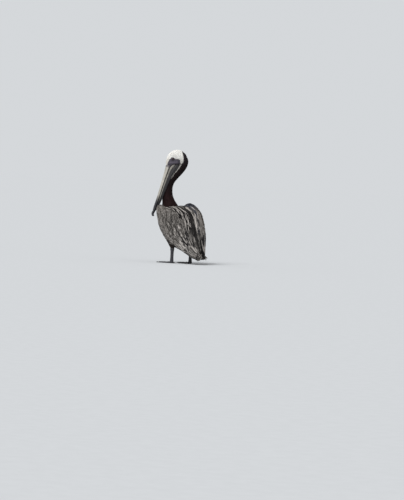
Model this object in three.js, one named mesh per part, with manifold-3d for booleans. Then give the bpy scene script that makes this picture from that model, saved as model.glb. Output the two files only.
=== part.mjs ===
// Brown pelican (Pelecanus occidentalis), adult, standing at rest on level ground.
// Millimetres, +Z up.  The trunk heads towards -X, so the bird's left side is -Y.
// The origin is the centre of the footprint of the bounding box, on the ground.
import * as THREE from "three";
import { mergeVertices } from "three/addons/utils/BufferGeometryUtils.js";
import Module from "manifold-3d";

// ---- driving dimensions ----------------------------------------------------------------
const GAP = 0.4; // clearance between neighbouring solids
const WELD = 1e-3; // corners closer than this are one
const BODY_LIST = 4; // degrees that the trunk leans to its left
const LIST_HEIGHT = 190; // height of the axis that the lean turns about
const HEAD_TURN = 45; // degrees from the trunk's heading to the plane of the neck
const HEAD_YAW = 12; // further turn of the head itself, to the left

const CULMEN = 292; // bill length along its ridge
const BILL_PITCH = 14; // degrees of the bill ridge forward of straight down
const TARSUS = 84; // ground to ankle joint
const LEG_SPREAD = 62; // each leg's distance from the median plane
const LEFT_FOOT_FORWARD = 8; // place of the left leg along the heading
const RIGHT_FOOT_FORWARD = -14; // place of the right leg along the heading
const TAIL_WIDTH = 108; // across the fanned tail's end
const EYE_DIAMETER = 15; // eyeball, of which the lids show about 11

const TRUNK_RING = 20; // vertices round the trunk
const TRUNK_STEPS = 15; // stations along it
const WING_STEPS = 13; // stations along a wing
const WING_RIBS = 6; // stations across a wing
const NECK_RING = 14; // vertices round the neck
const HEAD_RING = 15; // vertices round the head
const BILL_RING = 10; // vertices round each part of the bill

// ---- colours ---------------------------------------------------------------------------
const COLOURS = {
  crown: 0xe1ded7,
  neck: 0x2a2022,
  mantle: 0x6f6a68,
  wing: 0x77726f,
  flight: 0x2b2a2c,
  belly: 0x2c2624,
  bill_pale: 0xc9c6be,
  bill_dark: 0x55565a,
  pouch: 0x3c4140,
  leg: 0x2e3038,
  eye: 0x1c1512,
};

const wasm = await Module();
wasm.setup();

const radians = THREE.MathUtils.degToRad;
const vec = (x, y, z) => new THREE.Vector3(x, y, z);

// ---- frames ----------------------------------------------------------------------------
// A place in the bird's own terms: ahead of, to the left of and above the ground point.
function place(ahead, left, up) {
  return vec(-ahead, -left, up);
}

// The same for the trunk, wings and tail, which lean together to the left.
function bodyPlace(ahead, left, up) {
  const lean = radians(BODY_LIST);
  const rise = up - LIST_HEIGHT;
  const leaningLeft = left * Math.cos(lean) + rise * Math.sin(lean);
  const leaningUp = LIST_HEIGHT + rise * Math.cos(lean) - left * Math.sin(lean);
  return place(ahead, leaningLeft, leaningUp);
}

// The plane of the neck: across runs towards the nape, deep runs to the bird's far side.
const turn = radians(HEAD_TURN);
const ACROSS = vec(Math.cos(turn), Math.sin(turn), 0);
const DEEP = vec(-Math.sin(turn), Math.cos(turn), 0);
const NECK_DEPTH = 64; // how far the neck's plane lies on the deep side of the origin

function neckPlace(across, up, deep = 0) {
  return vec(0, 0, up).addScaledVector(ACROSS, across).addScaledVector(DEEP, NECK_DEPTH + deep);
}

// The head's own frame, turned a little further about the vertical through the nape.
const HEAD_PIVOT = neckPlace(-22, 0);
const yaw = radians(HEAD_YAW);
const HEAD_ACROSS = ACROSS.clone().applyAxisAngle(vec(0, 0, 1), yaw);
const HEAD_DEEP = DEEP.clone().applyAxisAngle(vec(0, 0, 1), yaw);

function headPlace(across, up, deep = 0) {
  return HEAD_PIVOT.clone()
    .addScaledVector(HEAD_ACROSS, across + 22)
    .addScaledVector(HEAD_DEEP, deep)
    .setZ(up);
}

// ---- geometry helpers ------------------------------------------------------------------
// A smooth curve through stations; number stations give a smooth function of 0..1.
function spline(points) {
  return new THREE.CatmullRomCurve3(points, false, "catmullrom", 0.5);
}

function profile(values) {
  const curve = spline(values.map((value) => vec(value, 0, 0)));
  return (s) => curve.getPoint(s).x;
}

// One closed ring: a superellipse of half-sizes a and b along two directions.
function ring(centre, alongA, alongB, a, b, power, count) {
  const points = [];
  for (let i = 0; i < count; i += 1) {
    const angle = (2 * Math.PI * i) / count;
    const c = Math.cos(angle);
    const s = Math.sin(angle);
    const x = Math.sign(c) * Math.abs(c) ** (2 / power);
    const y = Math.sign(s) * Math.abs(s) ** (2 / power);
    points.push(centre.clone().addScaledVector(alongA, a * x).addScaledVector(alongB, b * y));
  }
  return points;
}

// Turns a shape inside out if its signed volume is negative.
function facingOut(geometry) {
  const position = geometry.getAttribute("position");
  const index = geometry.getIndex().array;
  const [a, b, c] = [vec(), vec(), vec()];
  let volume = 0;
  for (let i = 0; i < index.length; i += 3) {
    a.fromBufferAttribute(position, index[i]);
    b.fromBufferAttribute(position, index[i + 1]);
    c.fromBufferAttribute(position, index[i + 2]);
    volume += a.dot(b.cross(c));
  }
  if (volume < 0) {
    for (let i = 0; i < index.length; i += 3) {
      [index[i + 1], index[i + 2]] = [index[i + 2], index[i + 1]];
    }
  }
  return geometry;
}

function indexed(points, faces) {
  const geometry = new THREE.BufferGeometry();
  const numbers = points.flatMap((p) => p.toArray());
  geometry.setAttribute("position", new THREE.Float32BufferAttribute(numbers, 3));
  geometry.setIndex(faces);
  return facingOut(geometry);
}

// A skin over successive rings, closed by a fan to the middle of each end ring.
function loft(rings) {
  const count = rings[0].length;
  const points = rings.flat();
  const faces = [];
  for (let k = 0; k + 1 < rings.length; k += 1) {
    for (let i = 0; i < count; i += 1) {
      const a = k * count + i;
      const b = k * count + ((i + 1) % count);
      faces.push(a, b, a + count, b, b + count, a + count);
    }
  }
  for (const [start, flip] of [[0, true], [(rings.length - 1) * count, false]]) {
    const middle = vec();
    for (let i = 0; i < count; i += 1) middle.addScaledVector(points[start + i], 1 / count);
    const hub = points.push(middle) - 1;
    for (let i = 0; i < count; i += 1) {
      const a = start + i;
      const b = start + ((i + 1) % count);
      faces.push(...(flip ? [b, a, hub] : [a, b, hub]));
    }
  }
  return indexed(points, faces);
}

// A closed plate between an outer and an inner surface, both functions of (s, t) in 0..1.
function plate(outer, inner, stepsAlong, stepsAcross) {
  const rings = [];
  for (let i = 0; i <= stepsAlong; i += 1) {
    const section = [];
    for (let j = 0; j <= stepsAcross; j += 1) section.push(outer(i / stepsAlong, j / stepsAcross));
    for (let j = stepsAcross; j >= 0; j -= 1) section.push(inner(i / stepsAlong, j / stepsAcross));
    rings.push(section);
  }
  return loft(rings);
}

// ---- joining and cutting ---------------------------------------------------------------
function toSolid(geometry) {
  const bare = geometry.clone();
  bare.deleteAttribute("normal");
  bare.deleteAttribute("uv");
  const merged = mergeVertices(bare, WELD);
  return new wasm.Manifold(new wasm.Mesh({
    numProp: 3,
    vertProperties: Float32Array.from(merged.getAttribute("position").array),
    triVerts: Uint32Array.from(merged.getIndex().array),
  }));
}

// Keeps the largest of the pieces that a cut left.
function largestPiece(position, index) {
  const parent = Array.from({ length: position.length / 3 }, (_, i) => i);
  const root = (i) => {
    while (parent[i] !== i) {
      parent[i] = parent[parent[i]];
      i = parent[i];
    }
    return i;
  };
  for (let i = 0; i < index.length; i += 3) {
    parent[root(index[i])] = root(index[i + 1]);
    parent[root(index[i + 1])] = root(index[i + 2]);
  }
  const sizes = new Map();
  for (let i = 0; i < index.length; i += 3) {
    sizes.set(root(index[i]), (sizes.get(root(index[i])) ?? 0) + 1);
  }
  const [largest] = [...sizes].sort((a, b) => b[1] - a[1])[0];
  const kept = [];
  for (let i = 0; i < index.length; i += 3) {
    if (root(index[i]) === largest) kept.push(index[i], index[i + 1], index[i + 2]);
  }
  return kept;
}

function fromSolid(solid) {
  const mesh = solid.getMesh();
  const geometry = new THREE.BufferGeometry();
  geometry.setAttribute("position", new THREE.BufferAttribute(Float32Array.from(mesh.vertProperties), 3));
  const merged = mergeVertices(geometry.setIndex(Array.from(mesh.triVerts)), WELD);
  const kept = largestPiece(merged.getAttribute("position").array, merged.getIndex().array);
  return merged.setIndex(kept);
}

// The shape with every face moved out by the clearance, to cut its neighbours with.  Each
// corner moves along the mean of its faces' normals, far enough to clear all of them.
function roomFor(geometry) {
  const bare = new THREE.BufferGeometry();
  bare.setAttribute("position", geometry.getAttribute("position").clone());
  bare.setIndex(geometry.getIndex().clone());
  const room = mergeVertices(bare, WELD);
  const position = room.getAttribute("position");
  const index = room.getIndex().array;
  const facing = Array.from({ length: position.count }, () => []);
  const triangle = new THREE.Triangle();
  for (let i = 0; i < index.length; i += 3) {
    const corners = [index[i], index[i + 1], index[i + 2]];
    triangle.setFromAttributeAndIndices(position, ...corners);
    const normal = triangle.getNormal(vec());
    for (const corner of corners) facing[corner].push(normal);
  }
  facing.forEach((normals, i) => {
    const mean = normals.reduce((sum, n) => sum.add(n), vec()).normalize();
    const slant = Math.max(0.4, Math.min(...normals.map((n) => n.dot(mean))));
    const moved = vec().fromBufferAttribute(position, i).addScaledVector(mean, GAP / slant);
    position.setXYZ(i, moved.x, moved.y, moved.z);
  });
  return room;
}

// The first shape, without the room that the others take up.
function cutBy(geometry, ...others) {
  let solid = toSolid(geometry);
  for (const other of others) solid = solid.subtract(toSolid(other));
  return fromSolid(solid);
}

function joined(...geometries) {
  return geometries.map(toSolid).reduce((whole, next) => whole.add(next));
}

// ---- trunk -----------------------------------------------------------------------------
// Stations from the root of the neck to the root of the tail.  Each is a rounded section
// between a point of the back and a point of the breast or belly, given as [ahead, up].
const BACK = [[62, 322], [28, 328], [-12, 320], [-46, 299], [-72, 264], [-88, 224], [-99, 184],
  [-111, 144], [-122, 108], [-132, 86]];
const BELLY = [[114, 318], [130, 296], [133, 266], [122, 232], [100, 196], [72, 160], [42, 128],
  [4, 102], [-46, 80], [-92, 66]];
const TRUNK_HALF_WIDTH = profile([34, 66, 89, 100, 103, 101, 94, 78, 54, 32]);
const TRUNK_POWER = 2.35; // a little squarer than an ellipse
const backLine = spline(BACK.map(([ahead, up]) => vec(ahead, 0, up)));
const bellyLine = spline(BELLY.map(([ahead, up]) => vec(ahead, 0, up)));

function trunk() {
  const rings = [];
  for (let i = 0; i <= TRUNK_STEPS; i += 1) {
    const s = i / TRUNK_STEPS;
    const back = backLine.getPoint(s);
    const belly = bellyLine.getPoint(s);
    const middle = back.clone().lerp(belly, 0.5);
    const depth = back.clone().sub(belly).multiplyScalar(0.5);
    const a = depth.length();
    const b = TRUNK_HALF_WIDTH(s);
    const flat = ring(middle, depth.normalize(), vec(0, 1, 0), a, b, TRUNK_POWER, TRUNK_RING);
    rings.push(flat.map((p) => bodyPlace(p.x, p.y, p.z)));
  }
  return loft(rings);
}

// ---- wings -----------------------------------------------------------------------------
// A folded wing is a curved plate.  Its stations run from the shoulder to the wing tip, and
// each has a point on the lower edge, two round the flank and one on the dorsal edge, as
// [ahead, left, up].
const WING_LOWER = [[94, 62, 315], [106, 88, 317], [120, 84, 290], [108, 88, 252],
  [88, 94, 208], [56, 94, 164], [22, 90, 128], [-26, 84, 100],
  [-78, 68, 75], [-122, 48, 47], [-154, 29, 29]];
const WING_FLANK = [[84, 64, 318], [92, 100, 329], [84, 114, 296], [58, 120, 258],
  [28, 122, 220], [-6, 118, 178], [-38, 108, 142], [-72, 88, 108],
  [-104, 68, 80], [-134, 45, 53], [-160, 25, 34]];
const WING_CORNER = [[70, 62, 320], [72, 94, 334], [36, 100, 326], [-2, 102, 305],
  [-38, 102, 276], [-64, 98, 236], [-84, 92, 194], [-102, 84, 150],
  [-120, 66, 106], [-144, 40, 68], [-164, 20, 40]];
const WING_DORSAL = [[54, 56, 320], [52, 80, 332], [14, 66, 330], [-26, 56, 314],
  [-60, 50, 285], [-82, 48, 245], [-98, 48, 202], [-112, 44, 158],
  [-128, 36, 116], [-148, 25, 78], [-167, 14, 46]];
const WING_THICKNESS = profile([9, 14, 28, 38, 40, 40, 36, 28, 17, 9, 4]);
const WING_EDGE_SHARE = 0.75; // thickness at the edges, as a share of that in the middle
const FAR_SHOULDER_BACK = 27; // how far the right shoulder is drawn back
const PRIMARIES_FROM = 0.66; // where along the wing the primaries come out from beneath
const COVERTS_END = 0.946; // where the secondaries and their coverts end
const wingCurves = [WING_LOWER, WING_FLANK, WING_CORNER, WING_DORSAL]
  .map((line) => spline(line.map((p) => vec(...p))));

// The outer surface: a smooth curve through the four points of a station.
function wingSurface(s, t) {
  return spline(wingCurves.map((curve) => curve.getPoint(s))).getPoint(t);
}

function wingInward(s, t) {
  const step = 0.01;
  const along = wingSurface(Math.min(s + step, 1), t).sub(wingSurface(Math.max(s - step, 0), t));
  const across = wingSurface(s, Math.min(t + step, 1)).sub(wingSurface(s, Math.max(t - step, 0)));
  return across.cross(along).normalize();
}

// A plate of the wing between two stations, lying some way inside the outer surface.
function wingPlate(side, from, to, sunk, thicknessShare, steps = WING_STEPS, ribs = WING_RIBS) {
  const at = (s, t, inward) => {
    const station = from + (to - from) * s;
    const edge = WING_EDGE_SHARE + (1 - WING_EDGE_SHARE) * Math.sin(Math.PI * t);
    const depth = sunk + inward * thicknessShare * WING_THICKNESS(station) * edge;
    const p = wingSurface(station, t).addScaledVector(wingInward(station, t), depth);
    const drawnBack = side < 0 ? FAR_SHOULDER_BACK * (1 - station) ** 2 : 0;
    return bodyPlace(p.x - drawnBack, side * p.y, p.z);
  };
  return plate((s, t) => at(s, t, 0), (s, t) => at(s, t, 1), steps, ribs);
}

// ---- tail ------------------------------------------------------------------------------
const TAIL_ROOT = [-104, 84]; // [ahead, up]
const TAIL_TIP = [-169, 24];
const TAIL_ROOT_WIDTH = 62;
const TAIL_THICKNESS = [13, 4]; // at the root and at the tip
const TAIL_FEATHERS = 8; // tips that show along the tail's end

function tailPlate() {
  const at = (s, t, face) => {
    const across = 2 * t - 1;
    const width = THREE.MathUtils.lerp(TAIL_ROOT_WIDTH, TAIL_WIDTH, s) / 2;
    const scallop = 3 * Math.abs(Math.sin(Math.PI * TAIL_FEATHERS * t)) * s;
    const reach = s * (1 - 0.12 * across * across) + (s * scallop) / 90;
    const ahead = THREE.MathUtils.lerp(TAIL_ROOT[0], TAIL_TIP[0], reach);
    const up = THREE.MathUtils.lerp(TAIL_ROOT[1], TAIL_TIP[1], reach);
    const half = THREE.MathUtils.lerp(...TAIL_THICKNESS, s) / 2;
    const camber = -7 * across * across;
    return bodyPlace(ahead, width * across, up + camber + face * half);
  };
  return plate((s, t) => at(s, t, 1), (s, t) => at(s, t, -1), 4, TAIL_FEATHERS * 2);
}

// ---- neck ------------------------------------------------------------------------------
// Centre line in the plane of the neck as [across, up], with the radius of the feathered neck.
const NECK_LINE = [[-78, 316], [-86, 344], [-93, 374], [-95, 405], [-92, 436], [-80, 466],
  [-58, 494], [-34, 521], [-15, 548], [-8, 575], [-16, 598]];
const NECK_RADIUS = profile([44, 34, 28.5, 26, 24.5, 23, 21.5, 20.5, 20, 20.5, 19]);
const neckLine = spline(NECK_LINE.map(([across, up]) => neckPlace(across, up)));
const NECK_CUTS = [0, 0.34, 0.66, 1]; // where the neck's three lengths meet

function neckLength(from, to) {
  const steps = 5;
  const rings = [];
  for (let i = 0; i <= steps; i += 1) {
    const s = from + ((to - from) * i) / steps;
    const tangent = neckLine.getTangent(s);
    const side = DEEP;
    const front = tangent.clone().cross(side).normalize();
    const radius = NECK_RADIUS(s);
    rings.push(ring(neckLine.getPoint(s), front, side, radius, radius * 0.94, 2, NECK_RING));
  }
  return loft(rings);
}

// ---- head ------------------------------------------------------------------------------
// Stations from the nape to the base of the bill: a point on the crown and one on the jaw as
// [across, up], and the half-width between them.
const CROWN = [[6, 590], [-4, 616], [-24, 633], [-46, 640], [-70, 636], [-92, 622], [-107, 600],
  [-112, 574], [-113, 552]];
const JAW = [[-6, 572], [-14, 560], [-28, 556], [-42, 556], [-56, 555], [-69, 551], [-80, 545],
  [-88, 540], [-93, 537]];
const HEAD_HALF_WIDTH = profile([14, 24, 30, 32.5, 32.5, 29.5, 25, 21.5, 19]);
const HEAD_POWER = 2.15;
const crownLine = spline(CROWN.map(([across, up]) => vec(across, 0, up)));
const jawLine = spline(JAW.map(([across, up]) => vec(across, 0, up)));

function head() {
  const rings = [];
  const steps = 12;
  for (let i = 0; i <= steps; i += 1) {
    const crown = crownLine.getPoint(i / steps);
    const jaw = jawLine.getPoint(i / steps);
    const middle = crown.clone().lerp(jaw, 0.5);
    const depth = crown.clone().sub(jaw).multiplyScalar(0.5);
    const a = depth.length();
    const width = HEAD_HALF_WIDTH(i / steps);
    const flat = ring(middle, depth.normalize(), vec(0, 1, 0), a, width, HEAD_POWER, HEAD_RING);
    rings.push(flat.map((p) => headPlace(p.x, p.z, p.y)));
  }
  return loft(rings);
}

const EYE_PLACE = [-81, 587]; // [across, up]
const EYE_OUT = 25.5; // distance of each eyeball's centre from the head's median plane

function eye(side) {
  const ball = new THREE.SphereGeometry(EYE_DIAMETER / 2, 12, 8);
  const centre = headPlace(EYE_PLACE[0], EYE_PLACE[1], -side * EYE_OUT);
  ball.translate(centre.x, centre.y, centre.z);
  return ball;
}

// ---- bill ------------------------------------------------------------------------------
// The bill's frame: along runs from the base of the ridge to the tip, below runs from the
// ridge towards the pouch, and deep to the far side.
const BILL_BASE = [-112, 549]; // [across, up]
const pitch = radians(BILL_PITCH);

function billPlace(along, below, deep) {
  const across = BILL_BASE[0] - along * Math.sin(pitch) + below * Math.cos(pitch);
  const up = BILL_BASE[1] - along * Math.cos(pitch) - below * Math.sin(pitch);
  return headPlace(across, up, deep);
}

// A loft down the bill between two distances along it: ridge and edge give how far below the
// ridge line it starts and ends, and halfWidth its breadth, at each share of its own length.
function billLoft(from, to, steps, ridge, edge, halfWidth) {
  const rings = [];
  for (let i = 0; i <= steps; i += 1) {
    const s = i / steps;
    const along = from + (to - from) * s;
    const middle = vec((ridge(s) + edge(s)) / 2, 0, 0);
    const half = (edge(s) - ridge(s)) / 2;
    const width = halfWidth(s);
    const flat = ring(middle, vec(1, 0, 0), vec(0, 1, 0), half, width, BILL_POWER, BILL_RING);
    rings.push(flat.map((p) => billPlace(along, p.x, p.y)));
  }
  return loft(rings);
}

const BILL_POWER = 2.3; // a little squarer than an ellipse
const UPPER_END = CULMEN - 8;
const UPPER_RIDGE = profile([-1, 1.5, 2.5, 3, 3, 2.5, 1.5, 0, 3]);
const UPPER_EDGE = profile([23, 19, 17, 15, 14, 13.5, 13, 13, 9]);
const UPPER_HALF_WIDTH = profile([18, 16.5, 15, 14, 13.5, 13.5, 13.5, 12, 5]);

function billUpper() {
  return billLoft(0, UPPER_END, 12, UPPER_RIDGE, UPPER_EDGE, UPPER_HALF_WIDTH);
}

// The hooked nail curls down over the tip of the lower mandible.
const NAIL_LENGTH = 20;
function billNail() {
  const line = spline([[CULMEN - NAIL_LENGTH, 5], [CULMEN - 9, 6], [CULMEN - 1, 10], [CULMEN + 1, 17]]
    .map(([along, below]) => vec(along, 0, below)));
  const thickness = profile([5, 6.4, 6, 2]);
  const breadth = profile([8, 8, 6, 2.4]);
  const steps = 6;
  const rings = [];
  for (let i = 0; i <= steps; i += 1) {
    const s = i / steps;
    const tangent = line.getTangent(s);
    const out = vec(-tangent.z, 0, tangent.x);
    const half = thickness(s);
    const flat = ring(line.getPoint(s), out, vec(0, 1, 0), half, breadth(s), 2, BILL_RING);
    rings.push(flat.map((p) => billPlace(p.x, p.z, p.y)));
  }
  return loft(rings);
}

// The lower mandible starts at the jaw joint, behind the base of the ridge, and sweeps down
// to lie along the upper one.
const LOWER_FROM = -20;
const LOWER_TO = CULMEN * 0.955;
const LOWER_RIDGE = profile([32, 21, 18, 16, 15, 14.3, 13.8, 13.2, 9.5]);
const LOWER_EDGE = profile([56, 37, 30, 27, 25, 23.5, 22, 19.5, 13.5]);
const LOWER_HALF_WIDTH = profile([21, 18.5, 16.5, 15, 14, 13.5, 12.5, 10, 4]);

function billLower() {
  return billLoft(LOWER_FROM, LOWER_TO, 12, LOWER_RIDGE, LOWER_EDGE, LOWER_HALF_WIDTH);
}

// The pouch hangs folded under the lower mandible and runs back along the throat.
const POUCH_FROM = -32;
const POUCH_TO = CULMEN * 0.9;
const POUCH_RIDGE = profile([44, 34, 25, 21.5, 20, 19, 18, 16.5, 13]);
const POUCH_EDGE = profile([84, 69, 54, 46, 41, 37, 33.5, 28, 18]);
const POUCH_HALF_WIDTH = profile([19, 20, 18, 16, 14, 12, 9.5, 7, 3]);

function pouch() {
  return billLoft(POUCH_FROM, POUCH_TO, 11, POUCH_RIDGE, POUCH_EDGE, POUCH_HALF_WIDTH);
}

// ---- legs and feet ---------------------------------------------------------------------
const ANKLE_RADIUS = 10.5;
const SHANK_HALF = [9.5, 7.5]; // half-sizes of the tarsus, fore and aft and across
const legAhead = (side) => (side > 0 ? LEFT_FOOT_FORWARD : RIGHT_FOOT_FORWARD);
const LEG_TOP = TARSUS + 6;

function leg(side) {
  const levels = profile([6, 16, 30, 50, 68, 80, LEG_TOP]);
  const swell = profile([1.15, 1.02, 0.92, 0.9, 0.98, 1.16, 0.9]);
  const rings = [];
  const steps = 6;
  for (let i = 0; i <= steps; i += 1) {
    const s = i / steps;
    const centre = place(legAhead(side), side * LEG_SPREAD, levels(s));
    const a = SHANK_HALF[0] * swell(s);
    const b = SHANK_HALF[1] * swell(s);
    rings.push(ring(centre, vec(1, 0, 0), vec(0, 1, 0), a, b, 2, 12));
  }
  return loft(rings);
}

// The feathered thigh, from inside the flank to just above the ankle.
function thigh(side) {
  const line = spline([[legAhead(side) + 14, 62, 168], [legAhead(side) + 8, 64, 134],
    [legAhead(side) + 2, 64, 108], [legAhead(side), LEG_SPREAD, 86]]
    .map(([ahead, left, up]) => place(ahead, side * left, up)));
  const radius = profile([40, 35, 23, ANKLE_RADIUS + 1.5]);
  const rings = [];
  const steps = 5;
  for (let i = 0; i <= steps; i += 1) {
    const half = radius(i / steps);
    rings.push(ring(line.getPoint(i / steps), vec(1, 0, 0), vec(0, 1, 0), half, half * 0.82, 2, 13));
  }
  return loft(rings);
}

// Toes as [length, degrees outwards of the foot's heading, root thickness], hallux first.
const TOES = [[44, -72, 7], [76, -22, 8.5], [100, 4, 9], [92, 28, 8.5]];
const WEB_THICKNESS = 2.6;
const WEB_POINTS = 20; // along the web's outline
const FOOT_HEADING = { 1: 0, "-1": 8 }; // degrees that each foot turns towards the left
const CLAW = 9; // length of each claw, part of the toe's length
const CLAW_ROOT = 3; // how far the claw's root lies inside the toe

// A point of a foot, from the leg: along the direction of a toe, at a height.
function footPlace(side, reach, outward, up) {
  const heading = radians(side * outward + FOOT_HEADING[side]);
  const ahead = legAhead(side) + reach * Math.cos(heading);
  return place(ahead, side * LEG_SPREAD + reach * Math.sin(heading), up);
}

function toe(side, [length, outward, thick]) {
  const bend = profile([0.62, 0.5, 0.42, 0.36, 0.3]);
  const rings = [];
  const steps = 4;
  const forward = footPlace(side, 1, outward, 0).sub(footPlace(side, 0, outward, 0));
  const sideways = forward.clone().cross(vec(0, 0, 1));
  for (let i = 0; i <= steps; i += 1) {
    const s = i / steps;
    const half = thick * bend(s);
    const reach = -4 + (length - CLAW + 4) * s;
    rings.push(ring(footPlace(side, reach, outward, half * 0.8), sideways, vec(0, 0, 1), half, half, 2, 6));
  }
  return loft(rings);
}

// A short claw, curling down from the end of the toe to the ground.
function claw(side, [length, outward]) {
  const rings = [];
  const forward = footPlace(side, 1, outward, 0).sub(footPlace(side, 0, outward, 0));
  const sideways = forward.clone().cross(vec(0, 0, 1));
  const steps = 2;
  for (let i = 0; i <= steps; i += 1) {
    const s = i / steps;
    const half = THREE.MathUtils.lerp(2.4, 0.5, s ** 1.5);
    const up = 2.9 - 2 * s * s;
    const reach = length - CLAW - CLAW_ROOT + (CLAW + CLAW_ROOT) * s;
    rings.push(ring(footPlace(side, reach, outward, up), sideways, vec(0, 0, 1), half * 0.8, half, 2, 5));
  }
  return loft(rings);
}

// The web between neighbouring toes, drawn in between their tips.
function web(side) {
  const outline = [footPlace(side, 16, 180, 0)];
  for (let k = 0; k < TOES.length; k += 1) {
    outline.push(footPlace(side, TOES[k][0] - CLAW - 2, TOES[k][1], 0));
    if (k + 1 < TOES.length) {
      const angle = (TOES[k][1] + TOES[k + 1][1]) / 2;
      const reach = (TOES[k][0] + TOES[k + 1][0]) / 2;
      outline.push(footPlace(side, reach * 0.8, angle, 0));
    }
  }
  outline.push(footPlace(side, 15, 100, 0));
  const smooth = spline(outline.concat([outline[0]])).getPoints(WEB_POINTS).slice(0, -1);
  const shape = new THREE.Shape(smooth.map((p) => new THREE.Vector2(p.x, p.y)));
  return new THREE.ExtrudeGeometry(shape, { depth: WEB_THICKNESS, bevelEnabled: false });
}

function foot(side) {
  const root = loft([[0, 9], [5, 10], [11, 9]].map(([up, half]) => {
    const centre = place(legAhead(side) + 2, side * LEG_SPREAD, up);
    return ring(centre, vec(1, 0, 0), vec(0, 1, 0), half + 3, half, 2, 12);
  }));
  const room = new THREE.BoxGeometry(400, 400, 60);
  const toes = TOES.flatMap((t) => [toe(side, t), claw(side, t)]);
  const whole = joined(web(side), root, ...toes);
  room.translate(0, 0, 30);
  const flat = whole.intersect(toSolid(room)).subtract(toSolid(roomFor(leg(side))));
  return fromSolid(flat);
}

// ---- the scene graph -------------------------------------------------------------------
const pelican = new THREE.Group();

function add(name, geometry, colour, roughness = 0.8) {
  const material = new THREE.MeshStandardMaterial({ color: colour, roughness, metalness: 0 });
  const mesh = new THREE.Mesh(geometry, material);
  mesh.name = name;
  pelican.add(mesh);
}

const SIDES = { left: 1, right: -1 };
const trunkRoom = roomFor(trunk());
const tailRoom = roomFor(tailPlate());
const headRoom = roomFor(head());
const upperRoom = roomFor(billUpper());
const lowerRoom = roomFor(billLower());
const neckLengths = [0, 1, 2].map((k) => neckLength(NECK_CUTS[k], NECK_CUTS[k + 1]));
const neckRooms = neckLengths.map(roomFor);

add("trunk", trunk(), COLOURS.mantle);
add("tail", cutBy(tailPlate(), trunkRoom), COLOURS.flight);
add("neck_lower", cutBy(neckLengths[0], trunkRoom), COLOURS.neck);
add("neck_middle", cutBy(neckLengths[1], neckRooms[0]), COLOURS.neck);
add("neck_upper", cutBy(neckLengths[2], neckRooms[1], headRoom), COLOURS.neck);
add("head", cutBy(head(), roomFor(eye(1)), roomFor(eye(-1))), COLOURS.crown);
add("bill_upper", cutBy(billUpper(), headRoom), COLOURS.bill_pale, 0.45);
add("bill_nail", cutBy(billNail(), upperRoom, lowerRoom), COLOURS.bill_dark, 0.4);
add("bill_lower", cutBy(billLower(), headRoom, upperRoom, ...neckRooms), COLOURS.bill_dark, 0.45);
add("pouch", cutBy(pouch(), headRoom, lowerRoom, upperRoom, ...neckRooms), COLOURS.pouch, 0.6);

for (const [name, side] of Object.entries(SIDES)) {
  const coverts = wingPlate(side, 0, COVERTS_END, 0, 1);
  const primaries = wingPlate(side, PRIMARIES_FROM, 1, 3, 0.9, 6, 3);
  const covertsRoom = roomFor(coverts);
  const legRoom = roomFor(leg(side));
  add(`eye_${name}`, eye(side), COLOURS.eye, 0.1);
  add(`wing_${name}`, cutBy(coverts, trunkRoom, tailRoom, ...neckRooms), COLOURS.wing);
  add(`primaries_${name}`, cutBy(primaries, covertsRoom, trunkRoom, tailRoom), COLOURS.flight);
  add(`thigh_${name}`, cutBy(thigh(side), trunkRoom, covertsRoom, legRoom), COLOURS.belly);
  add(`leg_${name}`, leg(side), COLOURS.leg, 0.6);
  add(`foot_${name}`, foot(side), COLOURS.leg, 0.6);
}

// The origin goes to the middle of the bounding box, at the soles.
const bounds = new THREE.Box3().setFromObject(pelican);
const middle = bounds.getCenter(vec());
pelican.position.set(-middle.x, -middle.y, -bounds.min.z);

export default pelican;
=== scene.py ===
"""Brown pelican, adult, standing at rest: skin, plumage, bill, eyes and feet over the solid model.

Lengths in this file are millimetres in the bird's own frame and become metres when a mesh is
made.  The plumage is laid as thin solid vanes on the surfaces that the solid model is lofted
from.  Each surface is a function of two shares: s runs along the part and t runs round it.
"""

import math
from collections import namedtuple
from types import SimpleNamespace

import bpy
import numpy as np
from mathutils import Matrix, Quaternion, Vector


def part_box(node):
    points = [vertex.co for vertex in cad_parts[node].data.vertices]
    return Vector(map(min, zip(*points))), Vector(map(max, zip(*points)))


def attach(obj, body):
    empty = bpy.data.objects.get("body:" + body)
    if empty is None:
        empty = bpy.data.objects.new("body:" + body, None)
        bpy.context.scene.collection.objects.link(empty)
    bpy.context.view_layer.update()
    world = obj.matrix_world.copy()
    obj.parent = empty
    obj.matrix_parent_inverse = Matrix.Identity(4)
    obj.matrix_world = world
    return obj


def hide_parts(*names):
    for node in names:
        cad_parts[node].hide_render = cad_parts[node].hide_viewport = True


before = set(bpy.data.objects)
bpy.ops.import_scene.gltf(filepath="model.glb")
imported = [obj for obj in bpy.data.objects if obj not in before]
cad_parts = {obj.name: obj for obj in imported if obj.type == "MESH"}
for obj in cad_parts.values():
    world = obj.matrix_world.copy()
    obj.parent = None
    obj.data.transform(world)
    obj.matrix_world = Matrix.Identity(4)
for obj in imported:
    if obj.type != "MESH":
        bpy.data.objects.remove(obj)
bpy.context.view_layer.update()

bl_info = {
    "name": "Standing pelican",
    "version": (1, 0, 0),
    "blender": (4, 5, 0),
    "location": "3D View > Sidebar > Pelican",
    "description": "Lays skin, plumage, bill, eyes and feet over a solid model of a pelican",
    "category": "Add Mesh",
}


# ---- colours and sizes -----------------------------------------------------------------
def ink(red, green, blue):
    """Linear colour of a display colour in 0..255: the display curve undone channel by channel."""
    shown = np.array([red, green, blue]) / 255.0
    return tuple(np.where(shown <= 0.04045, shown / 12.92, ((shown + 0.055) / 1.055) ** 2.4))


def colour(name, description, red, green, blue):
    """A colour property of the plumage or bare parts."""
    return bpy.props.FloatVectorProperty(
        name=name, description=description, subtype="COLOR", size=3, min=0.0, max=1.0,
        default=ink(red, green, blue))


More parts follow.
